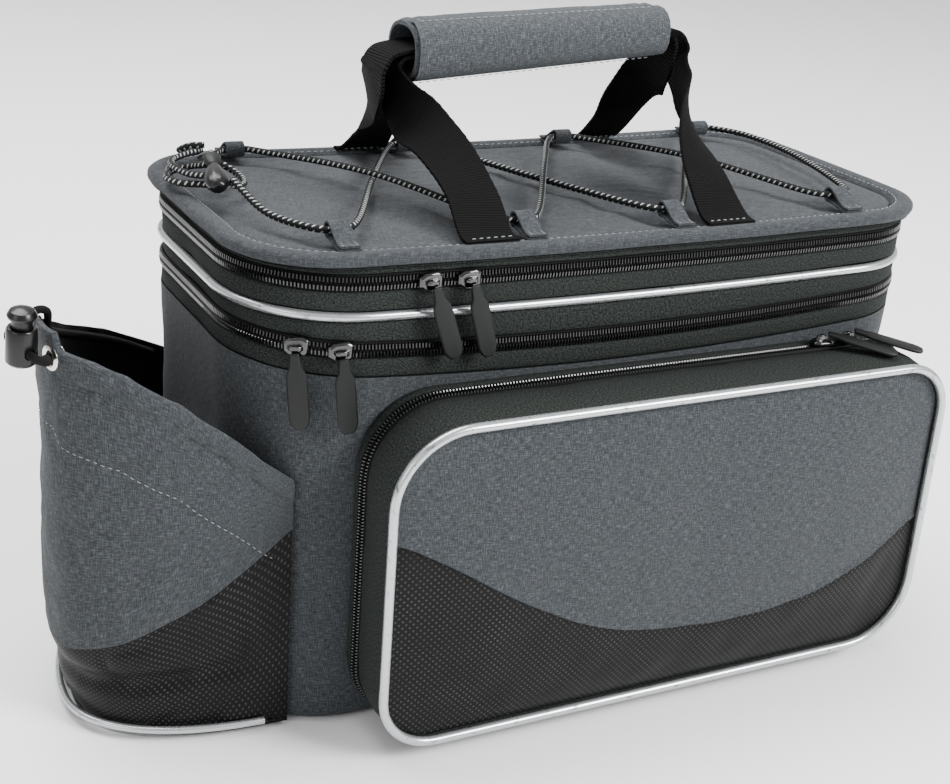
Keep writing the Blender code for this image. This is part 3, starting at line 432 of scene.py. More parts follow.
def plain_mesh(name, points, faces, shade, smooth=40):
    """One object from points and faces, with its normals turned outwards."""
    mesh = bpy.data.meshes.new(name)
    mesh.from_pydata([tuple(point) for point in points], [], faces)
    work = bmesh.new()
    work.from_mesh(mesh)
    bmesh.ops.recalc_face_normals(work, faces=work.faces)
    work.to_mesh(mesh)
    work.free()
    mesh.shade_smooth()
    mesh.set_sharp_from_angle(angle=math.radians(smooth))
    mesh.materials.append(shade)
    return new_object(name, mesh)


def coil(name, line, up):
    """Two rows of coil loops along a closed line, that meet in its middle. up is across it."""
    length = sum(math.dist(one, two) for one, two in zip(line, line[1:] + line[:1]))
    spots = [Vector(spot) for spot in spread([tuple(point) for point in line], round(length / COIL_PITCH))]
    points, faces = [], []
    for place, spot in enumerate(spots):
        ahead = (spots[(place + 1) % len(spots)] - spots[place - 1]).normalized()
        out = ahead.cross(up).normalized()
        for side in (-1, 1):
            middle = spot + ahead * (COIL_PITCH / 4 * side)
            start = len(points)
            for across, lift, wide in ((0.44, 0.0, 0.30), (0.40, 0.0008, 0.36), (0.12, 0.0011, 0.40),
                                       (0.02, 0.0002, 0.30)):
                root = middle + up * (side * across * ZIP_HEIGHT)
                for along, high in ((-1, -0.0003), (-0.5, lift), (0.5, lift), (1, -0.0003)):
                    points.append(root + ahead * (along * wide * COIL_PITCH) + out * high)
            for row in range(3):
                for step in range(3):
                    here = start + row * 4 + step
                    faces.append((here, here + 1, here + 5, here + 4))
    return plain_mesh(name, points, faces, NYLON)


def zip_ring(name, node, seam):
    rows = [(even_bag_plan, -0.0004 - ZIP_WALL, seam, -zip_half), (even_bag_plan, -0.0007, seam, -zip_half),
            (even_bag_plan, -0.0004, seam, -zip_half * 0.8), (even_bag_plan, -0.0004, seam, zip_half * 0.8),
            (even_bag_plan, -0.0007, seam, zip_half), (even_bag_plan, -0.0004 - ZIP_WALL, seam, zip_half)]
    own(band_ring(name + "_tape", rows, ZIP_TAPE), "zip_coil", node)
    line = [(x, y, seam_height(seam, x)) for x, y in even_bag_plan(-0.0003)]
    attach(coil(name + "_coil", line, Vector((0, 0, 1))), "bag")


zip_ring("expansion", "expansion_zip", "lower_zip")
zip_ring("lid_zip", "lid_zip", "lid_zip")

# Silver piping: a cord wrapped in reflective foil cloth, bright grey and nearly smooth, with
# small dull specks where the foil is rubbed. It is sewn between two tapes.
FOIL, foil_tree, foil_shader = finish_of("reflective foil cloth", 0.24, 0.75, Coat_Weight=0.2)
rub = add(foil_tree, "ShaderNodeTexNoise", {"Scale": 1.0, "Detail": 4.0},
          {"Vector": cloth_map(foil_tree, 5.0, 3.0)})
ramp_tone(foil_tree, foil_shader, rub.outputs["Fac"], (0.30, "6E7274"), (0.40, "B4B7B9"))
bead_rows = [(even_bag_plan, PIPING_PROUD - bead + bead * math.cos(2 * math.pi * step / 12), "piping",
              bead * math.sin(2 * math.pi * step / 12)) for step in range(12)]
own(band_ring("silver_piping", bead_rows, FOIL), "silver_piping", "band_piping")

# Lid: a grey foam panel inside a rolled rim of the same cloth, topstitched in pale thread.
# The cords press soft dents into the panel.
RIM_WIDTH = 0.0100
PANEL_WALL = 0.0030
LID_CROWN = 0.0030
LID_CLOTH = melange("lid melange polyester", "1F2224", "2F3235", "4A4D51", 4.4)
# Sewing thread: pale grey twisted polyester, which reads as rows of light dashes
THREAD = finish_of("pale grey sewing thread", 0.8, colour="74787B")[0]


def stitches(name, line, ups, length=0.0024, gap=0.0010, thick=0.00028, closed=False):
    """Thread stitches along a line of points: slim spindles that stand half out of the cloth."""
    spots = [Vector(point) for point in line]
    points, faces = [], []
    run = spots + spots[:1] if closed else spots
    start_at, marks = 0.0, [0.0]
    for one, two in zip(run, run[1:]):
        marks.append(marks[-1] + (two - one).length)

    def at(way):
        place = 0
        while place < len(marks) - 2 and marks[place + 1] < way:
            place += 1
        share = (way - marks[place]) / max(marks[place + 1] - marks[place], 1e-9)
        up = ups[place % len(ups)] if isinstance(ups, list) else ups
        return run[place].lerp(run[place + 1], share), up

    while start_at + length < marks[-1]:
        one, up = at(start_at)
        two = at(start_at + length)[0]
        ahead = (two - one).normalized()
        side = ahead.cross(up).normalized()
        base = len(points)
        points += [one - up * thick, two - up * thick]
        for share in (0.25, 0.75):
            spot = one.lerp(two, share)
            points += [spot + side * thick, spot + up * thick, spot - side * thick]
        for step in range(2):
            faces.append((base, base + 2 + step, base + 3 + step))
            faces.append((base + 1, base + 6 + step, base + 5 + step))
            faces.append((base + 2 + step, base + 5 + step, base + 6 + step, base + 3 + step))
        start_at += length + gap
    made = plain_mesh(name, points, faces, THREAD)
    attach(made, "bag")
    return made


rim_section = ((0.0, -1.0), (0.0010, -0.62), (0.0009, -0.25), (-0.0004, 0.05), (-0.0030, 0.20),
               (-0.0058, 0.12), (-0.0082, -0.12), (-0.0096, -0.45), (-0.0100, -1.0))
own(band_ring("rolled_rim", [(lid_plan, out, "lid_edge", RIM_HEIGHT * rise) for out, rise in rim_section],
              LID_CLOTH, wave=0.0006), "grey_melange_cloth", "lid_rim")
rim_line = [(x, y, seam_height("lid_edge", x)) for x, y in lid_plan(-0.0074)]
stitches("rim_topstitch", rim_line, Vector((0, 0, 1)), closed=True)

# Bungee route: the points of the lacing, also used for the dents that it presses into the lid
CORD_DIAMETER = 0.0030
TAB_WIDTH = 0.0090
TAB_LENGTH = 0.0150
TAB_WALL = 0.0010
TAB_RISE = 0.0055
EYE_RADIUS = 0.0027
CROSSING_LIFT = 0.0037
DROP_LENGTH = 0.0190
DROP_WIDTH = 0.0105
TABS = {
    "front_tab_1": (-0.382, -1), "front_tab_2": (-0.134, -1),
    "front_tab_3": (0.084, -1), "front_tab_4": (0.358, -1),
    "rear_tab_1": (-0.375, 1), "rear_tab_2": (-0.118, 1),
    "rear_tab_3": (0.145, 1), "rear_tab_4": (0.395, 1),
}
DROP_LOW = (-0.478, -0.21, 0.0080)
DROP_TOP = (-0.462, 0.09, 0.0150)
# Tabs in the cord's order, the side it comes from and its own points after the tab
LACING = (
    ("front_tab_1", -1, ((-0.250, 0.03, TAB_RISE),)),
    ("rear_tab_2", -1, ((-0.020, -0.02, TAB_RISE),)),
    ("front_tab_3", -1, ((0.240, 0.0, TAB_RISE),)),
    ("rear_tab_4", -1, ((0.443, 0.55, TAB_RISE), (0.443, 0.08, TAB_RISE))),
    ("front_tab_4", 1, ((0.248, 0.02, TAB_RISE + CROSSING_LIFT),)),
    ("rear_tab_3", 1, ((0.008, 0.02, TAB_RISE + CROSSING_LIFT),)),
    ("front_tab_2", 1, ((-0.252, 0.04, TAB_RISE + CROSSING_LIFT),)),
    ("rear_tab_1", 1, ()),
)


def lid_point(x, y, above):
    return Vector((x * BAG_LENGTH, y * BAG_WIDTH / 2, seam_height("lid_edge", x * BAG_LENGTH) + above))


def tab_eye(name):
    x, side = TABS[name]
    reach = BAG_WIDTH / 2 + LID_OVERHANG - RIM_WIDTH * 0.5 - TAB_LENGTH
    point = lid_point(x, 0.0, TAB_RISE)
    return Vector((point.x, side * reach, point.z))


def smooth_curve(knots, steps):
    """Points on a smooth curve through the knots, steps after each knot."""
    knots = [Vector(knot) for knot in knots]
    ends = [knots[0] * 2 - knots[1]] + knots + [knots[-1] * 2 - knots[-2]]
    points = []
    for place in range(1, len(ends) - 2):
        before, start, stop, after = ends[place - 1:place + 3]
        times = [0.0]
        for one, two in ((before, start), (start, stop), (stop, after)):
            times.append(times[-1] + max((two - one).length, 1e-6) ** 0.5)
        for step in range(steps):
            at = mix(times[1], times[2], step / steps)
            a1 = before.lerp(start, (at - times[0]) / (times[1] - times[0]))
            a2 = start.lerp(stop, (at - times[1]) / (times[2] - times[1]))
            a3 = stop.lerp(after, (at - times[2]) / (times[3] - times[2]))
            b1 = a1.lerp(a2, (at - times[0]) / (times[2] - times[0]))
            b2 = a2.lerp(a3, (at - times[1]) / (times[3] - times[1]))
            points.append(b1.lerp(b2, (at - times[1]) / (times[2] - times[1])))
    points.append(knots[-1])
    return points


def heading(path, place):
    """The way that a path of points runs at one of them."""
    return (path[min(place + 1, len(path) - 1)] - path[max(place - 1, 0)]).normalized()


drop_low, drop_high = lid_point(*DROP_LOW), lid_point(*DROP_TOP)
drop_way = (drop_high - drop_low).normalized()
lace = [drop_low.lerp(drop_high, 0.42) + Vector((DROP_WIDTH / 2 + GAP + 0.001, -0.002, 0)),
        lid_point(-0.440, -0.48, TAB_RISE)]
for tab, from_side, way in LACING:
    eye, inward, near = tab_eye(tab), -TABS[tab][1], TAB_WIDTH / 2
    for away, turn_in in ((near + 0.0062, 0.0058), (near + 0.0008, 0.0004),
                          (-near - 0.0008, 0.0004), (-near - 0.0062, 0.0058)):
        lace.append(eye + Vector((from_side * away, inward * turn_in, 0)))
    lace += [lid_point(*point) for point in way]
lace.append(lid_point(-0.438, 0.58, TAB_RISE + 0.001))
lace.append(drop_low.lerp(drop_high, 0.5) + drop_way * (DROP_LENGTH / 2 + DROP_WIDTH * 0.95 + GAP + 0.0015))
lace_line = smooth_curve(lace, 8)
lace_flat = [Vector((point.x, point.y)) for point in lace_line[::3]]

tops, unders = [], []
panel_plan = spread(lid_plan(-RIM_WIDTH - GAP), 200)
for share in [1.0, 0.985, 0.96] + [0.93 - 0.9 * step / 26 for step in range(27)]:
    crown = LID_CROWN * (1 - share ** 2) - RIM_HEIGHT * 0.30
    top_row, under_row = [], []
    for x, y in panel_plan:
        spot = Vector((x * share, y * share))
        z = seam_height("lid_edge", spot.x) + crown
        near = min((spot - point).length for point in lace_flat)
        free = min((1 - share) * 12, 1.0)
        dent = 0.0011 * math.exp(-(near / 0.006) ** 2) + 0.0013 * max(soft((*spot, 0), 0.030, 9.0), 0)
        dent += 0.0005 * soft((spot.x, spot.y * 2, 0), 0.010, 4.0)
        # Wide dent across the panel near the right pair of tabs
        dent += 0.0022 * math.exp(-((spot.x - 0.062 - spot.y * 0.12) / 0.010) ** 2) * free
        top_row.append(Vector((spot.x, spot.y, z - dent * free - 0.0007 * (share > 0.99))))
        under_row.append(Vector((spot.x, spot.y, z - PANEL_WALL - dent * free * 0.6)))
    tops.append(top_row)
    unders.append(under_row)
panel = skin("lid_padding", tops[::-1] + unders, LID_CLOTH, around=True, caps=True, smooth=60)
# The panel is cut flat from the cloth, so its weft runs along the bag
cloth_uv = panel.data.uv_layers["cloth"].data
for loop in panel.data.loops:
    spot = panel.data.vertices[loop.vertex_index].co
    cloth_uv[loop.index].uv = (spot.x, spot.y)
own(panel, "grey_melange_cloth", "lid_panel")

# Lacing tabs: strips of the same cloth folded round the cord, both ends sewn to the rim with
# two rows of pale stitches.
for tab, (x, side) in TABS.items():
    eye = tab_eye(tab)
    base_z = lid_point(x, 0.0, GAP + TAB_WALL / 2).z
    ring = EYE_RADIUS + TAB_WALL / 2
    foot = eye + Vector((0, side, 0)) * TAB_LENGTH
    near_y = foot.y - side * 0.004
    knots = [Vector((eye.x, foot.y, base_z)), Vector((eye.x, near_y, base_z))]
    for angle in (-72, -108, -144, -180, -216, -252, -288):
        turn_by = math.radians(angle)
        knots.append(eye + Vector((0, side * ring * math.cos(turn_by), ring * math.sin(turn_by))))
    knots += [Vector((eye.x, near_y, base_z + TAB_WALL + GAP * 2)),
              Vector((eye.x, foot.y, base_z + TAB_WALL + GAP * 2))]
    path = smooth_curve(knots, 4)
    rows = []
    for place, point in enumerate(path):
        ahead = heading(path, place)
        up = Vector((1, 0, 0)).cross(ahead)
        rows.append([point + Vector((wide * TAB_WIDTH / 2, 0, 0)) + up * rise * TAB_WALL / 2
                     for wide, rise in ((-0.96, -1), (0.96, -1), (1, 0), (0.96, 1), (0, 1.1), (-0.96, 1),
                                        (-1, 0))])
    own(skin(tab + "_strip", rows, LID_CLOTH, around=True, caps=True), "grey_melange_cloth", tab)
    top_z = base_z + TAB_WALL * 1.5 + GAP * 2
    for column in (-0.0030, 0.0030):
        stitches("{}_thread_{}".format(tab, "a" if column < 0 else "b"),
                 [Vector((eye.x + column, foot.y - side * 0.0005, top_z)),
                  Vector((eye.x + column, foot.y - side * 0.0062, top_z + 0.0004))],
                 Vector((0, 0, 1)), length=0.0014, gap=0.0006)

# Bungee cord: a braided black sheath with white marker yarns, which show as rows of small dots.
# It laces the eight tabs and ends in a drop-shaped lock.
DOT_SPACING = 3.0
SHEATH, sheath_tree, sheath_shader = finish_of("braided bungee sheath", 0.8, Specular_IOR_Level=0.2)
grid = add(sheath_tree, "ShaderNodeSeparateXYZ", {}, {0: cloth_map(sheath_tree, 3.14, DOT_SPACING)})
# Three dots round the cord in each row. The rows stand in line along it, and each dot is slanted.
slide = add(sheath_tree, "ShaderNodeMath", {"operation": "ADD"},
            {0: grid.outputs["X"], 1: grid.outputs["Y"]})
around_cell = add(sheath_tree, "ShaderNodeMath", {"operation": "FRACT"}, {0: slide.outputs[0]})
along_cell = add(sheath_tree, "ShaderNodeMath", {"operation": "FRACT"}, {0: grid.outputs["Y"]})
cell = add(sheath_tree, "ShaderNodeCombineXYZ", {}, {"X": around_cell.outputs[0],
                                                     "Y": along_cell.outputs[0]})
from_middle = add(sheath_tree, "ShaderNodeVectorMath", {"operation": "DISTANCE", 1: (0.5, 0.5, 0.0)},
                  {0: cell.outputs[0]})
dot = add(sheath_tree, "ShaderNodeMath", {"operation": "LESS_THAN", 1: 0.23},
          {0: from_middle.outputs["Value"]})
two_tone(sheath_tree, sheath_shader, dot.outputs[0], "101112", "9C9E9E")
braid = add(sheath_tree, "ShaderNodeTexWave", {"wave_type": "BANDS", "bands_direction": "DIAGONAL",
                                               "Scale": 0.9, "Distortion": 0.4},
            {"Vector": cloth_map(sheath_tree, 1.0, 1.0)})
emboss(sheath_tree, sheath_shader, braid.outputs["Fac"], 0.4, 0.0002)


def cord_skin(name, path, diameter, shade, sides=12):
    """A round cord along a path, without twist."""
    rows, across = [], None
    for place, point in enumerate(path):
        ahead = heading(path, place)
        if across is None:
            across = ahead.orthogonal()
        across = (across - ahead * across.dot(ahead)).normalized()
        up = ahead.cross(across)
        rows.append([point + (across * math.cos(2 * math.pi * step / sides)
                              + up * math.sin(2 * math.pi * step / sides)) * diameter / 2
                     for step in range(sides)])
    return skin(name, rows, shade, around=True, caps=True, smooth=80)


own(cord_skin("bungee", lace_line, CORD_DIAMETER, SHEATH), "bungee_sheath", "bungee_cord")
# The spare cord is bunched in three short loops beside the lock
spare_loops = (
    ((-0.1585, -0.0040, 0.2255), (-0.1640, 0.0040, 0.2240), (-0.1715, 0.0110, 0.2232),
     (-0.1740, 0.0215, 0.2230), (-0.1690, 0.0300, 0.2235), (-0.1620, 0.0265, 0.2262),
     (-0.1590, 0.0170, 0.2290), (-0.1560, 0.0110, 0.2310)),
    ((-0.1620, -0.0020, 0.2290), (-0.1675, 0.0100, 0.2272), (-0.1700, 0.0260, 0.2268),
     (-0.1660, 0.0390, 0.2262), (-0.1580, 0.0470, 0.2262), (-0.1500, 0.0540, 0.2255),
     (-0.1470, 0.0600, 0.2245), (-0.1505, 0.0655, 0.2240), (-0.1560, 0.0620, 0.2245),
     (-0.1530, 0.0555, 0.2280), (-0.1470, 0.0530, 0.2285)),
    ((-0.1560, 0.0180, 0.2300), (-0.1490, 0.0260, 0.2270), (-0.1435, 0.0240, 0.2240),
     (-0.1425, 0.0120, 0.2225), (-0.1465, 0.0030, 0.2225), (-0.1530, 0.0000, 0.2245)),
)
for place, knots in enumerate(spare_loops):
    spare = cord_skin("spare_cord_{}".format(place + 1), smooth_curve(knots, 10), CORD_DIAMETER, SHEATH)
    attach(spare, "bag")

# Handle: two black ribbed webbings sewn to the rim's long edges run up, one over the other,
# through a padded grip of grey cloth that is closed round them and topstitched.
WEBBING_WIDTH = 0.025
WEBBING_THICK = 0.0016
HANDLE_HEIGHT = 0.2845
HANDLE_SLOPE = 0.0080
HANDLE_OFFSET = -0.0105
WRAP_LENGTH = 0.129
WRAP_WALL = 0.0028
WRAP_EASE = 0.0009
WRAP_HALF_HEIGHT = 0.0125
GRIP_CLOTH = melange("grip melange polyester", "25282A", "393C3F", "585C60", 3.4)
# Nylon webbing: black, with ribs across its whole width every 1.3 mm that shine faintly
WEBBING, web_tree, web_shader = finish_of("ribbed black webbing", 0.70, Specular_IOR_Level=0.08)
ribs = add(web_tree, "ShaderNodeTexWave", {"wave_type": "BANDS", "bands_direction": "Y",
                                           "Scale": 0.31, "Distortion": 0.15},
           {"Vector": cloth_map(web_tree, 1.3, 1.3)})
cross = add(web_tree, "ShaderNodeTexWave", {"wave_type": "BANDS", "bands_direction": "X",
                                            "Scale": 0.31, "Distortion": 0.2},
            {"Vector": cloth_map(web_tree, 0.9, 0.9)})
weave = add(web_tree, "ShaderNodeMath", {"operation": "MULTIPLY"},
            {0: ribs.outputs["Fac"], 1: cross.outputs["Fac"]})
two_tone(web_tree, web_shader, weave.outputs[0], "040404", "0E0E0F")
emboss(web_tree, web_shader, ribs.outputs["Fac"], 0.9, 0.0005)


def grip_top(x):
    return HANDLE_HEIGHT + HANDLE_SLOPE * (x - HANDLE_OFFSET) / WRAP_LENGTH


# Columns: x as a share of BAG_LENGTH, y as a share of half the width, share of the way from
# the lid up to the grip, and how far the webbing's width has turned from across to along
LEGS = {
    "front_left": ((-0.198, -0.98, 0.00, -1.0), (-0.198, -0.90, 0.02, -1.0),
                   (-0.194, -0.68, 0.22, -1.0), (-0.205, -0.41, 0.45, -0.75),
                   (-0.228, -0.14, 0.64, -0.25), (-0.237, -0.03, 0.80, -0.08)),
    "rear_right": ((0.222, 0.98, 0.00, -1.0), (0.222, 0.90, 0.02, -1.0),
                   (0.214, 0.66, 0.22, -1.0), (0.196, 0.41, 0.45, -0.70),
                   (0.177, 0.14, 0.64, -0.20), (0.176, 0.03, 0.80, -0.06)),
    "rear_left": ((-0.172, 0.98, 0.00, 1.0), (-0.172, 0.90, 0.02, 1.0),
                  (-0.174, 0.79, 0.12, 0.90), (-0.186, 0.62, 0.30, 0.65),
                  (-0.222, 0.36, 0.50, 0.40), (-0.248, 0.13, 0.66, 0.15),
                  (-0.256, 0.03, 0.79, 0.05)),
    "front_right": ((0.154, -0.98, 0.00, 1.0), (0.154, -0.90, 0.02, 1.0),
                    (0.156, -0.70, 0.20, 0.85), (0.172, -0.41, 0.43, 0.45),
                    (0.196, -0.13, 0.64, 0.15), (0.197, -0.03, 0.78, 0.05)),
}


def leg(name):
    rows = []
    for x, y, rise, turned_by in LEGS[name]:
        base = lid_point(x, y, WEBBING_THICK / 2 + GAP)
        quarter = math.radians(90 * turned_by)
        rows.append((Vector((base.x, base.y, mix(base.z, grip_top(base.x), rise))),
                     Vector((math.sin(quarter), math.cos(quarter), 0))))
    return rows


def leg_bend(end, level, straight, radius):
    middle = HANDLE_OFFSET + end * (WRAP_LENGTH / 2 + straight)
    rows = []
    for angle in (75, 38, 0):
        lean = math.radians(angle)
        z = grip_top(HANDLE_OFFSET + end * WRAP_LENGTH / 2) + level - radius * (1 - math.cos(lean))
        rows.append((Vector((middle + end * radius * math.sin(lean), 0, z)), Vector((0, 1, 0))))
    return rows


handle_gap = WEBBING_THICK / 2 + GAP
for name, left, right, level, straight, radius in (
        ("inner_webbing", "front_left", "rear_right", -handle_gap, 0.0010, 0.0055),
        ("outer_webbing", "rear_left", "front_right", handle_gap, 0.0030, 0.0105)):
    knots = leg(left) + leg_bend(-1, level, straight, radius)
    knots += leg_bend(1, level, straight, radius)[::-1] + leg(right)[::-1]
    path = smooth_curve([knot[0] for knot in knots], 14)
    ways = smooth_curve([knot[1] for knot in knots], 14)
    rows, ends = [], []
    for place, point in enumerate(path):
        ahead = heading(path, place)
        across = (ways[place] - ahead * ways[place].dot(ahead)).normalized()
        up = across.cross(ahead)
        half = WEBBING_WIDTH / 2 - 0.0002 * (place % 2)
        rows.append([point + across * side * half + up * rise * WEBBING_THICK / 2
                     for side, rise in ((-0.97, -1), (-0.5, -1), (0, -1), (0.5, -1), (0.97, -1), (1, 0),
                                        (0.97, 1), (0.5, 1), (0, 1), (-0.5, 1), (-0.97, 1), (-1, 0))])
        ends.append((point, across, up))
    own(skin(name + "_ribbed", rows, WEBBING, around=True, caps=True), "black_webbing", name)
    # Three rows of stitches hold each end down on the rim
    for end, (point, across, up) in (("left", ends[3]), ("right", ends[-4])):
        face = up if up.z > 0 else -up
        for row, inward in enumerate((0.0015, 0.0045, 0.0075)):
            side = -1 if point.y > 0 else 1
            middle = point + Vector((0, side * inward, 0)) + face * (WEBBING_THICK / 2 + 0.0002)
            stitches("{}_{}_thread_{}".format(name, end, row),
                     [middle - across * 0.0105, middle + across * 0.0105], face)

GRIP_TAPER = 0.08
GRIP_ROUNDING = 0.8


def squarish(value):
    """A sine or cosine bent so that the grip's section comes out a little square."""
    return math.copysign(abs(value) ** GRIP_ROUNDING, value)


half = WRAP_LENGTH / 2
rows = []
section = 44
reaches = [-half + WRAP_LENGTH * step / 46 for step in range(47)]
for inner in (False, True):
    for reach in (reaches if not inner else reaches[::-1]):
        wide = WEBBING_WIDTH / 2 + WRAP_EASE + WRAP_WALL - (WRAP_WALL if inner else 0)
        high = WRAP_HALF_HEIGHT * (1 - GRIP_TAPER * reach / half) - (WRAP_WALL if inner else 0)
        row = []
        for step in range(section):
            turn_by = 2 * math.pi * step / section
            across = squarish(math.cos(turn_by))
            rise = squarish(math.sin(turn_by))
            x = HANDLE_OFFSET + reach
            dent = 0.0 if inner else 0.0007 * min(soft((x, across * 0.03, rise * 0.02), 0.014, 2.0), 0.2)
            end_roll = 0.0 if inner else 0.0010 * max(1 - (half - abs(reach)) / 0.0022, 0) ** 2
            seam = 0.0 if inner else 0.0006 * math.exp(-((half - abs(reach) - 0.005) / 0.0012) ** 2)
            grow = 1 + (dent - end_roll - seam) / high
            row.append(Vector((x, wide * across * grow, grip_top(x) + high * rise * grow)))
        rows.append(row)
grip = skin("padded_grip", rows, GRIP_CLOTH, around=True, along=True, smooth=60)
own(grip, "grey_melange_cloth", "handle_wrap")


def grip_point(reach, turn_deg, lift=0.0):
    turn_by = math.radians(turn_deg)
    wide = WEBBING_WIDTH / 2 + WRAP_EASE + WRAP_WALL + lift
    high = WRAP_HALF_HEIGHT * (1 - GRIP_TAPER * reach / half) + lift
    across = squarish(math.cos(turn_by))
    rise = squarish(math.sin(turn_by))
    x = HANDLE_OFFSET + reach
    return Vector((x, wide * across, grip_top(x) + high * rise))


# Flap of the grip: the cloth's free edge laps over the front from the top and is sewn down
flap_rows = []
for step in range(40):
    reach = mix(-half + 0.001, half - 0.001, step / 39)
    row = []
    for place in range(9):
        row.append(grip_point(reach, mix(100, 246, place / 8), 0.0007 if 0 < place < 8 else 0.0001))
    flap_rows.append(row)
flap = skin("grip_flap", flap_rows, GRIP_CLOTH)
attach(flap, "bag")
for name, turn_by in (("grip_thread_low", 240), ("grip_thread_top", 112)):
    stitches(name, [grip_point(mix(-half + 0.004, half - 0.004, step / 30), turn_by, 0.0008)
                    for step in range(31)], Vector((0, -0.3, 0.9)) if turn_by == 112
             else Vector((0, -0.7, -0.7)))
for name, reach in (("grip_thread_left", -half + 0.005), ("grip_thread_right", half - 0.005)):
    stitches(name, [grip_point(reach, turn_by, 0.0004) for turn_by in range(100, 265, 8)],
             Vector((0, -0.9, 0.3)))

# Side pocket: a gusset of dark tape with its own zip, silver piping, and a bulging front whose
# grey cloth sweeps over black coated cloth. The front is foam padded.
POCKET_LENGTH = 0.284
POCKET_HEIGHT = 0.149
POCKET_FOOT = 0.0085
POCKET_OFFSET = 0.0160
POCKET_DEPTH = 0.039
POCKET_DROOP = 0.0030
POCKET_BULGE = 0.010
POCKET_RADII = (0.026, 0.034, 0.025, 0.034)
POCKET_WALL = 0.0025
BACK_GUSSET = 0.0050
POCKET_PIPING = 0.0042
# Coated polyester: black, half dull, woven with a lattice of small pale dots 2.2 mm apart
DOTTED, dotted_tree, dotted_shader = finish_of("dotted black coated cloth", 0.50, Specular_IOR_Level=0.12)
lattice = add(dotted_tree, "ShaderNodeVectorMath", {"operation": "FRACTION"},
              {0: cloth_map(dotted_tree, 2.2, 2.2, 45)})
off_dot = add(dotted_tree, "ShaderNodeVectorMath", {"operation": "DISTANCE", 1: (0.5, 0.5, 0.0)},
              {0: lattice.outputs["Vector"]})
dot_edge = add(dotted_tree, "ShaderNodeMapRange", {"From Min": 0.26, "From Max": 0.16},
               {"Value": off_dot.outputs["Value"]})
worn = add(dotted_tree, "ShaderNodeTexNoise", {"Scale": 1.0, "Detail": 3.0},
           {"Vector": cloth_map(dotted_tree, 18.0, 18.0)})
dot_show = add(dotted_tree, "ShaderNodeMath", {"operation": "MULTIPLY"},
               {0: dot_edge.outputs["Result"], 1: worn.outputs["Fac"]})
two_tone(dotted_tree, dotted_shader, dot_show.outputs[0], "090909", "444442")


def pocket_plan(out, away, count=260):
    outline = rounded_plan(POCKET_LENGTH, POCKET_HEIGHT, POCKET_RADII, out)
    sink = POCKET_DROOP * away / POCKET_DEPTH / POCKET_HEIGHT
    return spread([(x + POCKET_OFFSET, POCKET_FOOT + (z + POCKET_HEIGHT / 2) * (1 - sink))
                   for x, z in outline], count)


def pocket_ring(name, profile, shade, wave=0.0):
    front = BAG_WIDTH / 2 + GAP
    rows = []
    for out, away in profile:
        rows.append([Vector((x, -front - away, z)) for x, z in pocket_plan(out, away)])
    if wave:
        for row in rows:
            for point in row:
                push = wave * min(soft(point, 0.028, 8.0), 0)
                middle = Vector((POCKET_OFFSET, point.y, POCKET_FOOT + POCKET_HEIGHT / 2))
                point += (point - middle).normalized() * push
    return skin(name, rows, shade, around=True, along=True)


wall = POCKET_WALL
zip_start = BACK_GUSSET + GAP
zip_stop = zip_start + ZIP_HEIGHT
gusset = zip_stop + GAP
pocket_bead = POCKET_PIPING / 2
rim_away = POCKET_DEPTH - pocket_bead
own(pocket_ring("pocket_back_tape", ((-0.0006, 0.0), (0.0, 0.0006), (0.0, BACK_GUSSET - 0.0006),
                                     (-0.0006, BACK_GUSSET), (-wall, BACK_GUSSET), (-wall, 0.0)),
                BAND_CLOTH), "dark_band_cloth", "pocket_back_gusset")
own(pocket_ring("pocket_zip_tape", ((-0.0004, zip_start), (0.0, zip_start + 0.001),
                                    (0.0, zip_stop - 0.001), (-0.0004, zip_stop),
                                    (-ZIP_WALL, zip_stop), (-ZIP_WALL, zip_start)), ZIP_TAPE),
    "zip_coil", "pocket_zip")
zip_away = (zip_start + zip_stop) / 2
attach(coil("pocket_coil", [(x, -BAG_WIDTH / 2 - GAP - zip_away, z)
                             for x, z in pocket_plan(0.0001, zip_away)], Vector((0, -1, 0))), "bag")
own(pocket_ring("pocket_front_tape", (
    (-0.0006, gusset), (0.0, gusset + 0.0006), (0.0006, mix(gusset, rim_away, 0.25)),
    (0.0010, mix(gusset, rim_away, 0.5)), (0.0006, mix(gusset, rim_away, 0.75)), (0.0, rim_away - GAP),
    (-wall, rim_away - GAP), (0.001 - wall, mix(gusset, rim_away, 0.5)), (-wall, gusset)),
    BAND_CLOTH, wave=0.0010), "dark_band_cloth", "pocket_front_gusset")
own(pocket_ring("pocket_silver_piping", [
    (PIPING_PROUD - pocket_bead + pocket_bead * math.cos(2 * math.pi * step / 12),
     rim_away + pocket_bead + pocket_bead * math.sin(2 * math.pi * step / 12)) for step in range(12)],
    FOIL), "silver_piping", "pocket_piping")

front_plan = pocket_plan(-wall - GAP, rim_away, 400)
pocket_left, pocket_right = min(x for x, z in front_plan), max(x for x, z in front_plan)
pocket_low, pocket_high = min(z for x, z in front_plan), max(z for x, z in front_plan)
# Seam between the grey and the black cloth: share of the length, share of the height
POCKET_SEAM = ((0.0, 0.68), (0.10, 0.57), (0.20, 0.44), (0.30, 0.335), (0.38, 0.275), (0.47, 0.240),
               (0.57, 0.222), (0.68, 0.228), (0.79, 0.262), (0.90, 0.345), (1.0, 0.450))


def read_table(table, share):
    for (x1, z1), (x2, z2) in zip(table, table[1:]):
        if share <= x2 + 1e-6:
            return mix(z1, z2, (share - x1) / (x2 - x1))
    return table[-1][1]


def read_smooth(table, share, reach=0.03):
    return sum(read_table(table, min(max(share + reach * step / 2, 0), 1)) for step in range(-2, 3)) / 5


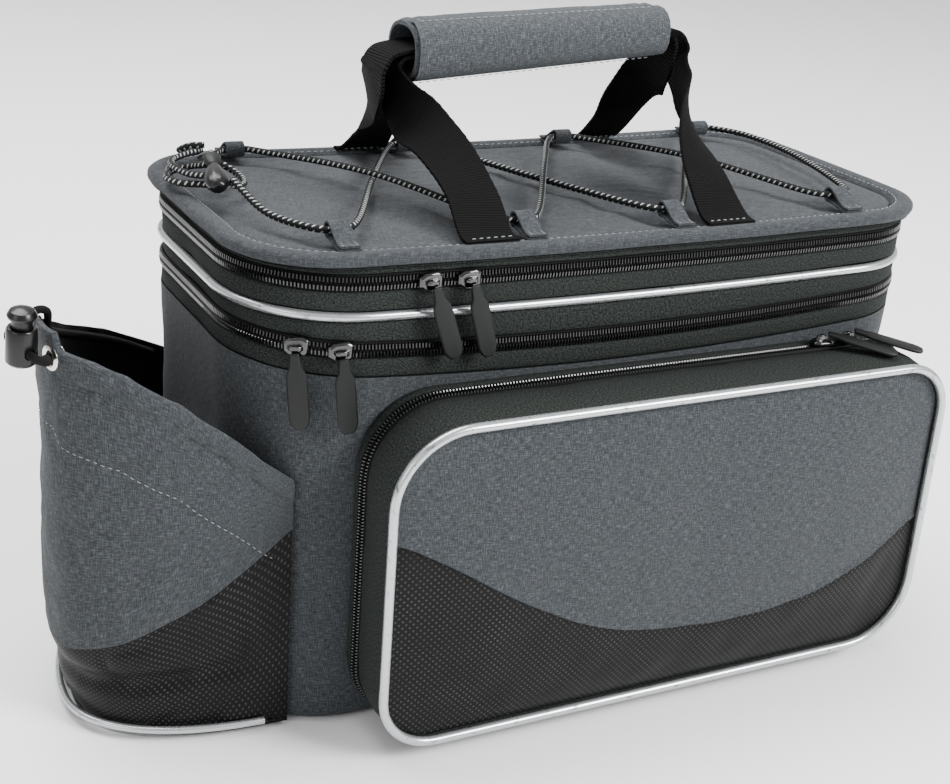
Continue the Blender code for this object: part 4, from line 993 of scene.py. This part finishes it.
def edge_heights(x):
    heights = []
    for (x1, z1), (x2, z2) in zip(front_plan, front_plan[1:] + front_plan[:1]):
        if min(x1, x2) <= x <= max(x1, x2):
            heights += [z1, z2] if x1 == x2 else [mix(z1, z2, (x - x1) / (x2 - x1))]
    return min(heights), max(heights)


def pocket_face(x, z):
    """Y of the pocket's front at x, z: its bulge, with soft dents."""
    across = (x - pocket_left) / (pocket_right - pocket_left) * 2 - 1
    rise = (z - pocket_low) / (pocket_high - pocket_low) * 2 - 1
    free = max(1 - abs(across) ** 3.5, 0) * max(1 - abs(rise) ** 2.6, 0)
    dent = 0.0012 * max(soft((x, 0, z), 0.045, 6.0), 0) + 0.0005 * soft((x, 0, z), 0.014, 7.0)
    return -(BAG_WIDTH / 2 + GAP + rim_away + POCKET_BULGE * free - dent * min(free * 3, 1))


def eased(step, steps):
    """Share of the way at a step, with short steps at both ends."""
    return (1 - math.cos(math.pi * step / steps)) / 2


columns = 96
for name, node, lower, shade, slot_name in (
        ("pocket_black_front", "pocket_lower_panel", True, DOTTED, "black_coated_cloth"),
        ("pocket_grey_front", "pocket_upper_panel", False, BODY_CLOTH, "grey_melange_cloth")):
    rows = []
    for column in range(columns + 1):
        x = mix(pocket_left, pocket_right, eased(column, columns))
        low, high = edge_heights(min(max(x, pocket_left + 1e-6), pocket_right - 1e-6))
        share = (x - pocket_left) / (pocket_right - pocket_left)
        split = pocket_low + (pocket_high - pocket_low) * read_smooth(POCKET_SEAM, share)
        split = min(max(split, low + 0.0006), high - 0.0006)
        start, stop = (low, split - GAP / 2) if lower else (split + GAP / 2, high)
        outer = []
        for row in range(31):
            z = mix(start, stop, eased(row, 30))
            gap_from_seam = abs(z - split)
            # The grey cloth is folded under along the seam and stands over the black
            lift = (0.0006 if lower else -0.0009) * math.exp(-(gap_from_seam / 0.0025) ** 2)
            if gap_from_seam < 0.0004 and not lower:
                lift = 0.0
            outer.append(Vector((x, pocket_face(x, z) + lift, z)))
        back = [Vector((point.x, point.y + wall, point.z)) for point in outer[::6]]
        rows.append(outer + back[::-1])
    front = skin(name, rows, shade, around=True, caps=True, turn=True)
    for loop, uv in zip(front.data.loops, front.data.uv_layers["cloth"].data):
        spot = front.data.vertices[loop.vertex_index].co
        uv.uv = (spot.x, spot.z)
    own(front, slot_name, node)

# Bottle pocket: one curved wall of unpadded grey cloth sewn to the left end, with a folded hem,
# a black coated foot that creases, a flat base and silver piping round the foot.
END_DEPTH = 0.092
END_SKEW = 0.030
END_FRONT_SQUARE = 2.3
END_REAR_SQUARE = 1.8
END_START = 0.150
END_MIDDLE = -0.012
END_FOOT = 0.0020
END_WALL = 0.0022
END_TUCK = 0.0100
HEM_HEIGHT = 0.1810
EYELET_ANGLE = 13.0
EYELET_HEIGHT = 0.1705
ELASTIC_DIAMETER = 0.0034
# Share of the way from the tip to the seam, and height as a share of HEM_HEIGHT
FRONT_HEM = ((0.0, 1.0), (0.125, 1.0), (0.15, 0.963), (0.28, 0.950), (0.39, 0.928), (0.58, 0.862),
             (0.69, 0.808), (0.79, 0.762), (0.88, 0.712), (1.0, 0.655))
REAR_HEM = ((0.0, 1.0), (0.10, 0.985), (0.25, 0.930), (0.45, 0.860), (0.70, 0.780), (1.0, 0.655))
BLACK_EDGE = ((0.0, 0.210), (0.12, 0.212), (0.23, 0.232), (0.39, 0.266), (0.52, 0.310),
              (0.69, 0.376), (0.88, 0.475), (1.0, 0.540))
END_STEPS = 144


def body_half_width(x):
    along = x + BAG_LENGTH / 2 - LEFT_RADIUS
    return BAG_WIDTH / 2 - LEFT_RADIUS + math.sqrt(max(LEFT_RADIUS ** 2 - along ** 2, 0.0))


END_HALF_WIDTH = body_half_width(-END_START) + GAP + END_WALL


def end_outline(out, drawn_in=0.0, steps=END_STEPS):
    """Plan of the bottle pocket's wall, from its front seam round the tip to its rear seam."""
    points = []
    deep = END_DEPTH + out + drawn_in
    wide = END_HALF_WIDTH + out
    for step in range(steps + 1):
        lean = math.radians(-90 + 180 * step / steps)
        square, side = (END_FRONT_SQUARE, -wide + END_SKEW) if lean < 0 else (END_REAR_SQUARE,
                                                                              wide + END_SKEW)
        points.append(Vector((-END_START - deep * abs(math.cos(lean)) ** (2 / square),
                              side * abs(math.sin(lean)) ** (2 / square) - END_SKEW, 0.0)))
    return points


def way_along(points):
    """Each point's share of the way from the tip of the line, its middle point, to its end."""
    lengths = [0.0]
    for one, two in zip(points, points[1:]):
        lengths.append(lengths[-1] + (two - one).length)
    tip = lengths[len(lengths) // 2]
    return [1 - length / tip if length < tip else (length - tip) / (lengths[-1] - tip)
            for length in lengths]


def tuck(z):
    return -END_TUCK * (1 - min(z / (HEM_HEIGHT * 0.33), 1.0)) ** 2


end_ways = way_along(end_outline(0.0))
end_tip = END_STEPS // 2


def hem_at(place):
    return HEM_HEIGHT * read_table(FRONT_HEM if place < end_tip else REAR_HEM, end_ways[place])


def black_at(place):
    return HEM_HEIGHT * read_smooth(BLACK_EDGE, end_ways[place])


def end_point(place, z, out=0.0):
    """A point of the wall's outer face, with the dents and folds of thin cloth."""
    spot = end_outline_at(place, out, z)
    dent = 0.0024 * soft((spot.x, spot.y, z * 0.6), 0.034, 11.0)
    dent += 0.0008 * soft((spot.x, spot.y, z), 0.013, 12.0)
    # Long shallow folds where the thin cloth is pulled to the seam
    dent += 0.0012 * max(1 - abs(soft((spot.x, spot.y, z * 1.4), 0.028, 14.0)) * 5, 0)
    # One soft crease runs from the tip down to the front seam across the black foot
    front = end_ways[place] if place < end_tip else -end_ways[place]
    fade = min(max(front + 0.25, 0) * 3, 1, (1 - abs(front)) * 3)
    fold = math.exp(-((z - (0.023 + 0.012 * front)) / 0.0045) ** 2) * 0.0036 * fade
    held = min((1 - end_ways[place]) * 12, 1.0)
    inward = (max(dent, -0.0004) + fold) * held
    middle = Vector((-END_START, END_MIDDLE, z))
    return spot - (spot - middle).normalized() * inward


end_lines = {}


def end_outline_at(place, out, z):
    key = (round(out, 6), round(z, 4))
    if key not in end_lines:
        end_lines[key] = end_outline(out, tuck(key[1]))
    spot = end_lines[key][place]
    return Vector((spot.x, spot.y, z))


def way_out_at(point):
    """The level way from the bottle pocket's middle out through a point."""
    return Vector((point.x + END_START, point.y - END_MIDDLE, 0)).normalized()


foot_z = END_FOOT + END_WALL
for name, node, shade, slot_name, low_of, high_of in (
        ("bottle_pocket_grey", "bottle_pocket_wall", BODY_CLOTH, "grey_melange_cloth", black_at, hem_at),
        ("bottle_pocket_black", "bottle_pocket_foot", DOTTED, "black_coated_cloth",
         lambda place: foot_z + GAP, lambda place: black_at(place) - GAP)):
    rows = []
    is_wall = node.endswith("wall")
    for place in range(END_STEPS + 1):
        low, high = low_of(place), high_of(place)
        outer, inner = [], []
        for row in range(37):
            z = mix(low, high, eased(row, 36))
            point = end_point(place, z)
            seam = (z - low) if is_wall else (high - z)
            lift = (0.0008 if is_wall else -0.0006) * math.exp(-(seam / 0.0022) ** 2)
            if is_wall:
                # The folded hem is twice as thick, with a groove under its stitching
                lift += 0.0007 * (1 if high - z < 0.0095 else 0) - 0.0006 * math.exp(
                    -((high - z - 0.0105) / 0.0012) ** 2) - 0.0009 * max(1 - (high - z) / 0.0012, 0)
            way_out = way_out_at(point)
            point += way_out * lift
            outer.append(point)
            if row % 4 == 0:
                inner.append(point - way_out * (END_WALL + lift * 0.5))
        rows.append(outer + inner[::-1])
    made = skin(name, rows, shade, around=True, caps=True, turn=True, second=LINING,
                is_second=lambda row, step: 37 <= step < 46)
    own(made, slot_name, node)
# One row of stitches runs some way under the hem
HEM_THREAD_DROP = 0.0410
thread_places = range(3, END_STEPS - 2)
thread_line = [end_point(place, hem_at(place) - HEM_THREAD_DROP, 0.0003) for place in thread_places]
thread_ways = [way_out_at(end_point(place, 0.1)) for place in thread_places]
stitches("hem_thread", thread_line, thread_ways, length=0.0020, gap=0.0012, thick=0.00022)

base_outline = end_outline(0.0, tuck(0.0), 48)
body_side = []
for step in range(17):
    y = base_outline[0].y * (1 - step / 8)
    x = -BAG_LENGTH / 2 - GAP
    corner = abs(y) - (BAG_WIDTH / 2 - LEFT_RADIUS)
    if corner > 0:
        reach = LEFT_RADIUS + GAP
        x += reach - math.sqrt(max(reach ** 2 - corner ** 2, 0.0))
    body_side.append(Vector((min(x, -END_START), y, 0.0)))
base_loop = base_outline + body_side[1:-1][::-1]
rows = [[Vector((spot.x, spot.y, z)) for spot in base_loop] for z in (END_FOOT, foot_z)]
own(skin("bottle_pocket_floor", rows, DOTTED, around=True, caps=True), "black_coated_cloth",
    "bottle_pocket_base")
foot_bead = POCKET_PIPING * 0.4
foot_line = end_outline(foot_bead + GAP, tuck(foot_z + 2 * foot_bead), 96)[3:-3]
own(cord_skin("bottle_pocket_bead", [Vector((spot.x, spot.y, foot_z + foot_bead)) for spot in foot_line],
              2 * foot_bead, FOIL), "silver_piping", "bottle_pocket_piping")

# Hardware: moulded and stamped parts as made, their edges rounded so that they catch the light.
# Glossy black lacquer on the zip sliders
LACQUER = finish_of("glossy black lacquer", 0.16, 0.3, "060607", Coat_Weight=1.0)[0]
# Moulded rubber: dark grey, dull, a little dusty on its raised faces
RUBBER, rubber_tree, rubber_shader = finish_of("moulded dark rubber", 0.50, Specular_IOR_Level=0.25)
dusty = add(rubber_tree, "ShaderNodeTexNoise", {"Scale": 260.0, "Detail": 5.0})
two_tone(rubber_tree, rubber_shader, dusty.outputs["Fac"], "090A0A", "131415")
# Polished nickel plate on the eyelet
NICKEL = finish_of("polished nickel", 0.22, 1.0, "D2CFC8")[0]
# Moulded acetal of the two cord locks: black, satin with a soft shine
ACETAL = finish_of("black acetal plastic", 0.28, colour="0A0A0B", Specular_IOR_Level=0.35)[0]


def rounded_copy(node, name, shade, slot_name, riding, round_by):
    """The solid with rounded edges, in its own place."""
    solid = frame[node] if isinstance(frame, dict) and node in frame else bpy.data.objects[node]
    made = new_object(name, solid.data.copy())
    made.matrix_world = solid.matrix_world.copy()
    made.data.materials.clear()
    made.data.materials.append(shade)
    work = bmesh.new()
    work.from_mesh(made.data)
    bmesh.ops.remove_doubles(work, verts=work.verts, dist=1e-6)
    bmesh.ops.dissolve_limit(work, angle_limit=math.radians(3), verts=work.verts, edges=work.edges)
    work.to_mesh(made.data)
    work.free()
    bevel = made.modifiers.new("rounded edges", "BEVEL")
    bevel.width = round_by
    bevel.segments = 3
    bevel.limit_method = "ANGLE"
    bevel.angle_limit = math.radians(28)
    made.data.shade_smooth()
    return own(made, slot_name, node, body=riding)


for name in ("lid_left", "lid_right", "expansion_left", "expansion_right", "pocket_left",
             "pocket_right"):
    rounded_copy(name + "_slider", name + "_zip_slider", LACQUER, "black_lacquered_metal", "bag", 0.0005)
    rounded_copy(name + "_pull", name + "_pull_tab", RUBBER, "pull_tab_rubber", name + "_tab", 0.0004)
rounded_copy("eyelet", "nickel_ring", NICKEL, "nickel_eyelet", "bag", 0.0003)
rounded_copy("barrel_lock", "barrel_body", ACETAL, "black_lock_plastic", "bag", 0.0005)
rounded_copy("barrel_lock_button", "barrel_button", ACETAL, "black_lock_plastic", "lock_button", 0.0005)
rounded_copy("lacing_lock", "lace_drop", ACETAL, "black_lock_plastic", "bag", 0.0006)
rounded_copy("lacing_lock_button", "lace_drop_neck", RUBBER, "pull_tab_rubber", "bag", 0.0006)

# Hem elastic: a braided black cord through the eyelet and the barrel lock, then back over the hem
centre_line = end_outline(0.0, steps=360)
eyelet_step = 180 - round(EYELET_ANGLE * 2)
tip_way = (centre_line[eyelet_step + 1] - centre_line[eyelet_step - 1]).normalized()
eyelet_middle = Vector((centre_line[eyelet_step].x, centre_line[eyelet_step].y, EYELET_HEIGHT))
outward = Vector((-tip_way.y, tip_way.x, 0))
BARREL_DIAMETER = 0.0126
barrel_axis = Vector((0.02, -0.13, 0.99)).normalized()
through = Vector((outward.y, -outward.x, 0))
through = (through - barrel_axis * through.dot(barrel_axis)).normalized()
barrel_away = BARREL_DIAMETER / 2 + 0.0070
barrel_place = eyelet_middle + outward * barrel_away + Vector((0.0, 0.0, 0.0065))
inside_line = end_outline(-END_WALL - ELASTIC_DIAMETER / 2 - 2 * GAP, steps=40)
inside_ways = way_along(inside_line)
inside = eyelet_middle - outward * (END_WALL + 0.0060)
hem_top = HEM_HEIGHT + ELASTIC_DIAMETER / 2 + 2 * GAP
over = end_outline(0.0, steps=40)[20]
lift = Vector((0.0, 0.0, (barrel_place.z - eyelet_middle.z) / barrel_away))
knots = [inside + Vector((0.0, 0.0, -0.014)), inside + Vector((0, 0, -0.004)),
         eyelet_middle - outward * 0.001, eyelet_middle + outward * 0.003]
for out, back in ((0.0055, 0.0050), (0.0090, 0.0102), (0.0128, 0.0098)):
    knots.append(eyelet_middle + (outward + lift) * out - through * back)
knots += [barrel_place - through * (BARREL_DIAMETER / 2 + 0.0008),
          barrel_place + through * (BARREL_DIAMETER / 2 + 0.0008),
          barrel_place + through * (BARREL_DIAMETER / 2 + 0.0045) + Vector((0.0008, 0.0, 0.0012)),
          Vector((over.x - 0.0040, over.y + 0.002, hem_top - 0.001)),
          Vector((over.x + 0.0010, over.y + 0.005, hem_top + 0.0010)),
          Vector((over.x + END_WALL + ELASTIC_DIAMETER / 2 + 0.0012, over.y + 0.009, hem_top - 0.0010))]
for place in (25, 28, 31, 34, 37):
    drop = HEM_HEIGHT * read_table(REAR_HEM, inside_ways[place])
    knots.append(Vector((inside_line[place].x, inside_line[place].y, drop - 0.004)))
# Braided elastic: dull black, roughened by its plait
ELASTIC, elastic_tree, elastic_shader = finish_of("braided black elastic", 0.9, colour="0A0A0B",
                                                  Specular_IOR_Level=0.2)
plait = add(elastic_tree, "ShaderNodeTexWave", {"wave_type": "BANDS", "bands_direction": "DIAGONAL",
                                                "Scale": 0.6, "Distortion": 1.0},
            {"Vector": cloth_map(elastic_tree, 1.1, 1.1)})
emboss(elastic_tree, elastic_shader, plait.outputs["Fac"], 0.9, 0.0004)
own(cord_skin("hem_elastic", smooth_curve(knots, 8), ELASTIC_DIAMETER, ELASTIC), "black_webbing",
    "hem_cord")

# Photographer's table and lights: pale paper under wide soft lights, brightest from the
# front right and from above.
PAPER = finish_of("pale backdrop paper", 0.9, colour="FAFAFA")[0]
floor_mesh = bpy.data.meshes.new("backdrop")
floor_mesh.from_pydata([(-6, -6, 0), (6, -6, 0), (6, 6, 0), (-6, 6, 0)], [], [(0, 1, 2, 3)])
floor_mesh.materials.append(PAPER)
backdrop = new_object("backdrop", floor_mesh)
for name, place, width, power in (("key_light", (1.1, -1.5, 1.35), 0.9, 88.0),
                                  ("top_light", (-0.3, 0.6, 1.9), 1.4, 70.0),
                                  ("left_light", (-1.6, -0.7, 0.9), 0.8, 6.0)):
    lamp = bpy.data.lights.new(name, "AREA")
    lamp.size = width
    lamp.energy = power
    made = new_object(name, lamp)
    made.location = place
    made.rotation_euler = (Vector((0, 0, 0.1)) - Vector(place)).to_track_quat("-Z", "Y").to_euler()
world = bpy.data.worlds.new("studio")
world.use_nodes = True
world.node_tree.nodes["Background"].inputs["Color"].default_value = (1.0, 1.0, 1.0, 1.0)
world.node_tree.nodes["Background"].inputs["Strength"].default_value = 0.85
bpy.context.scene.world = world
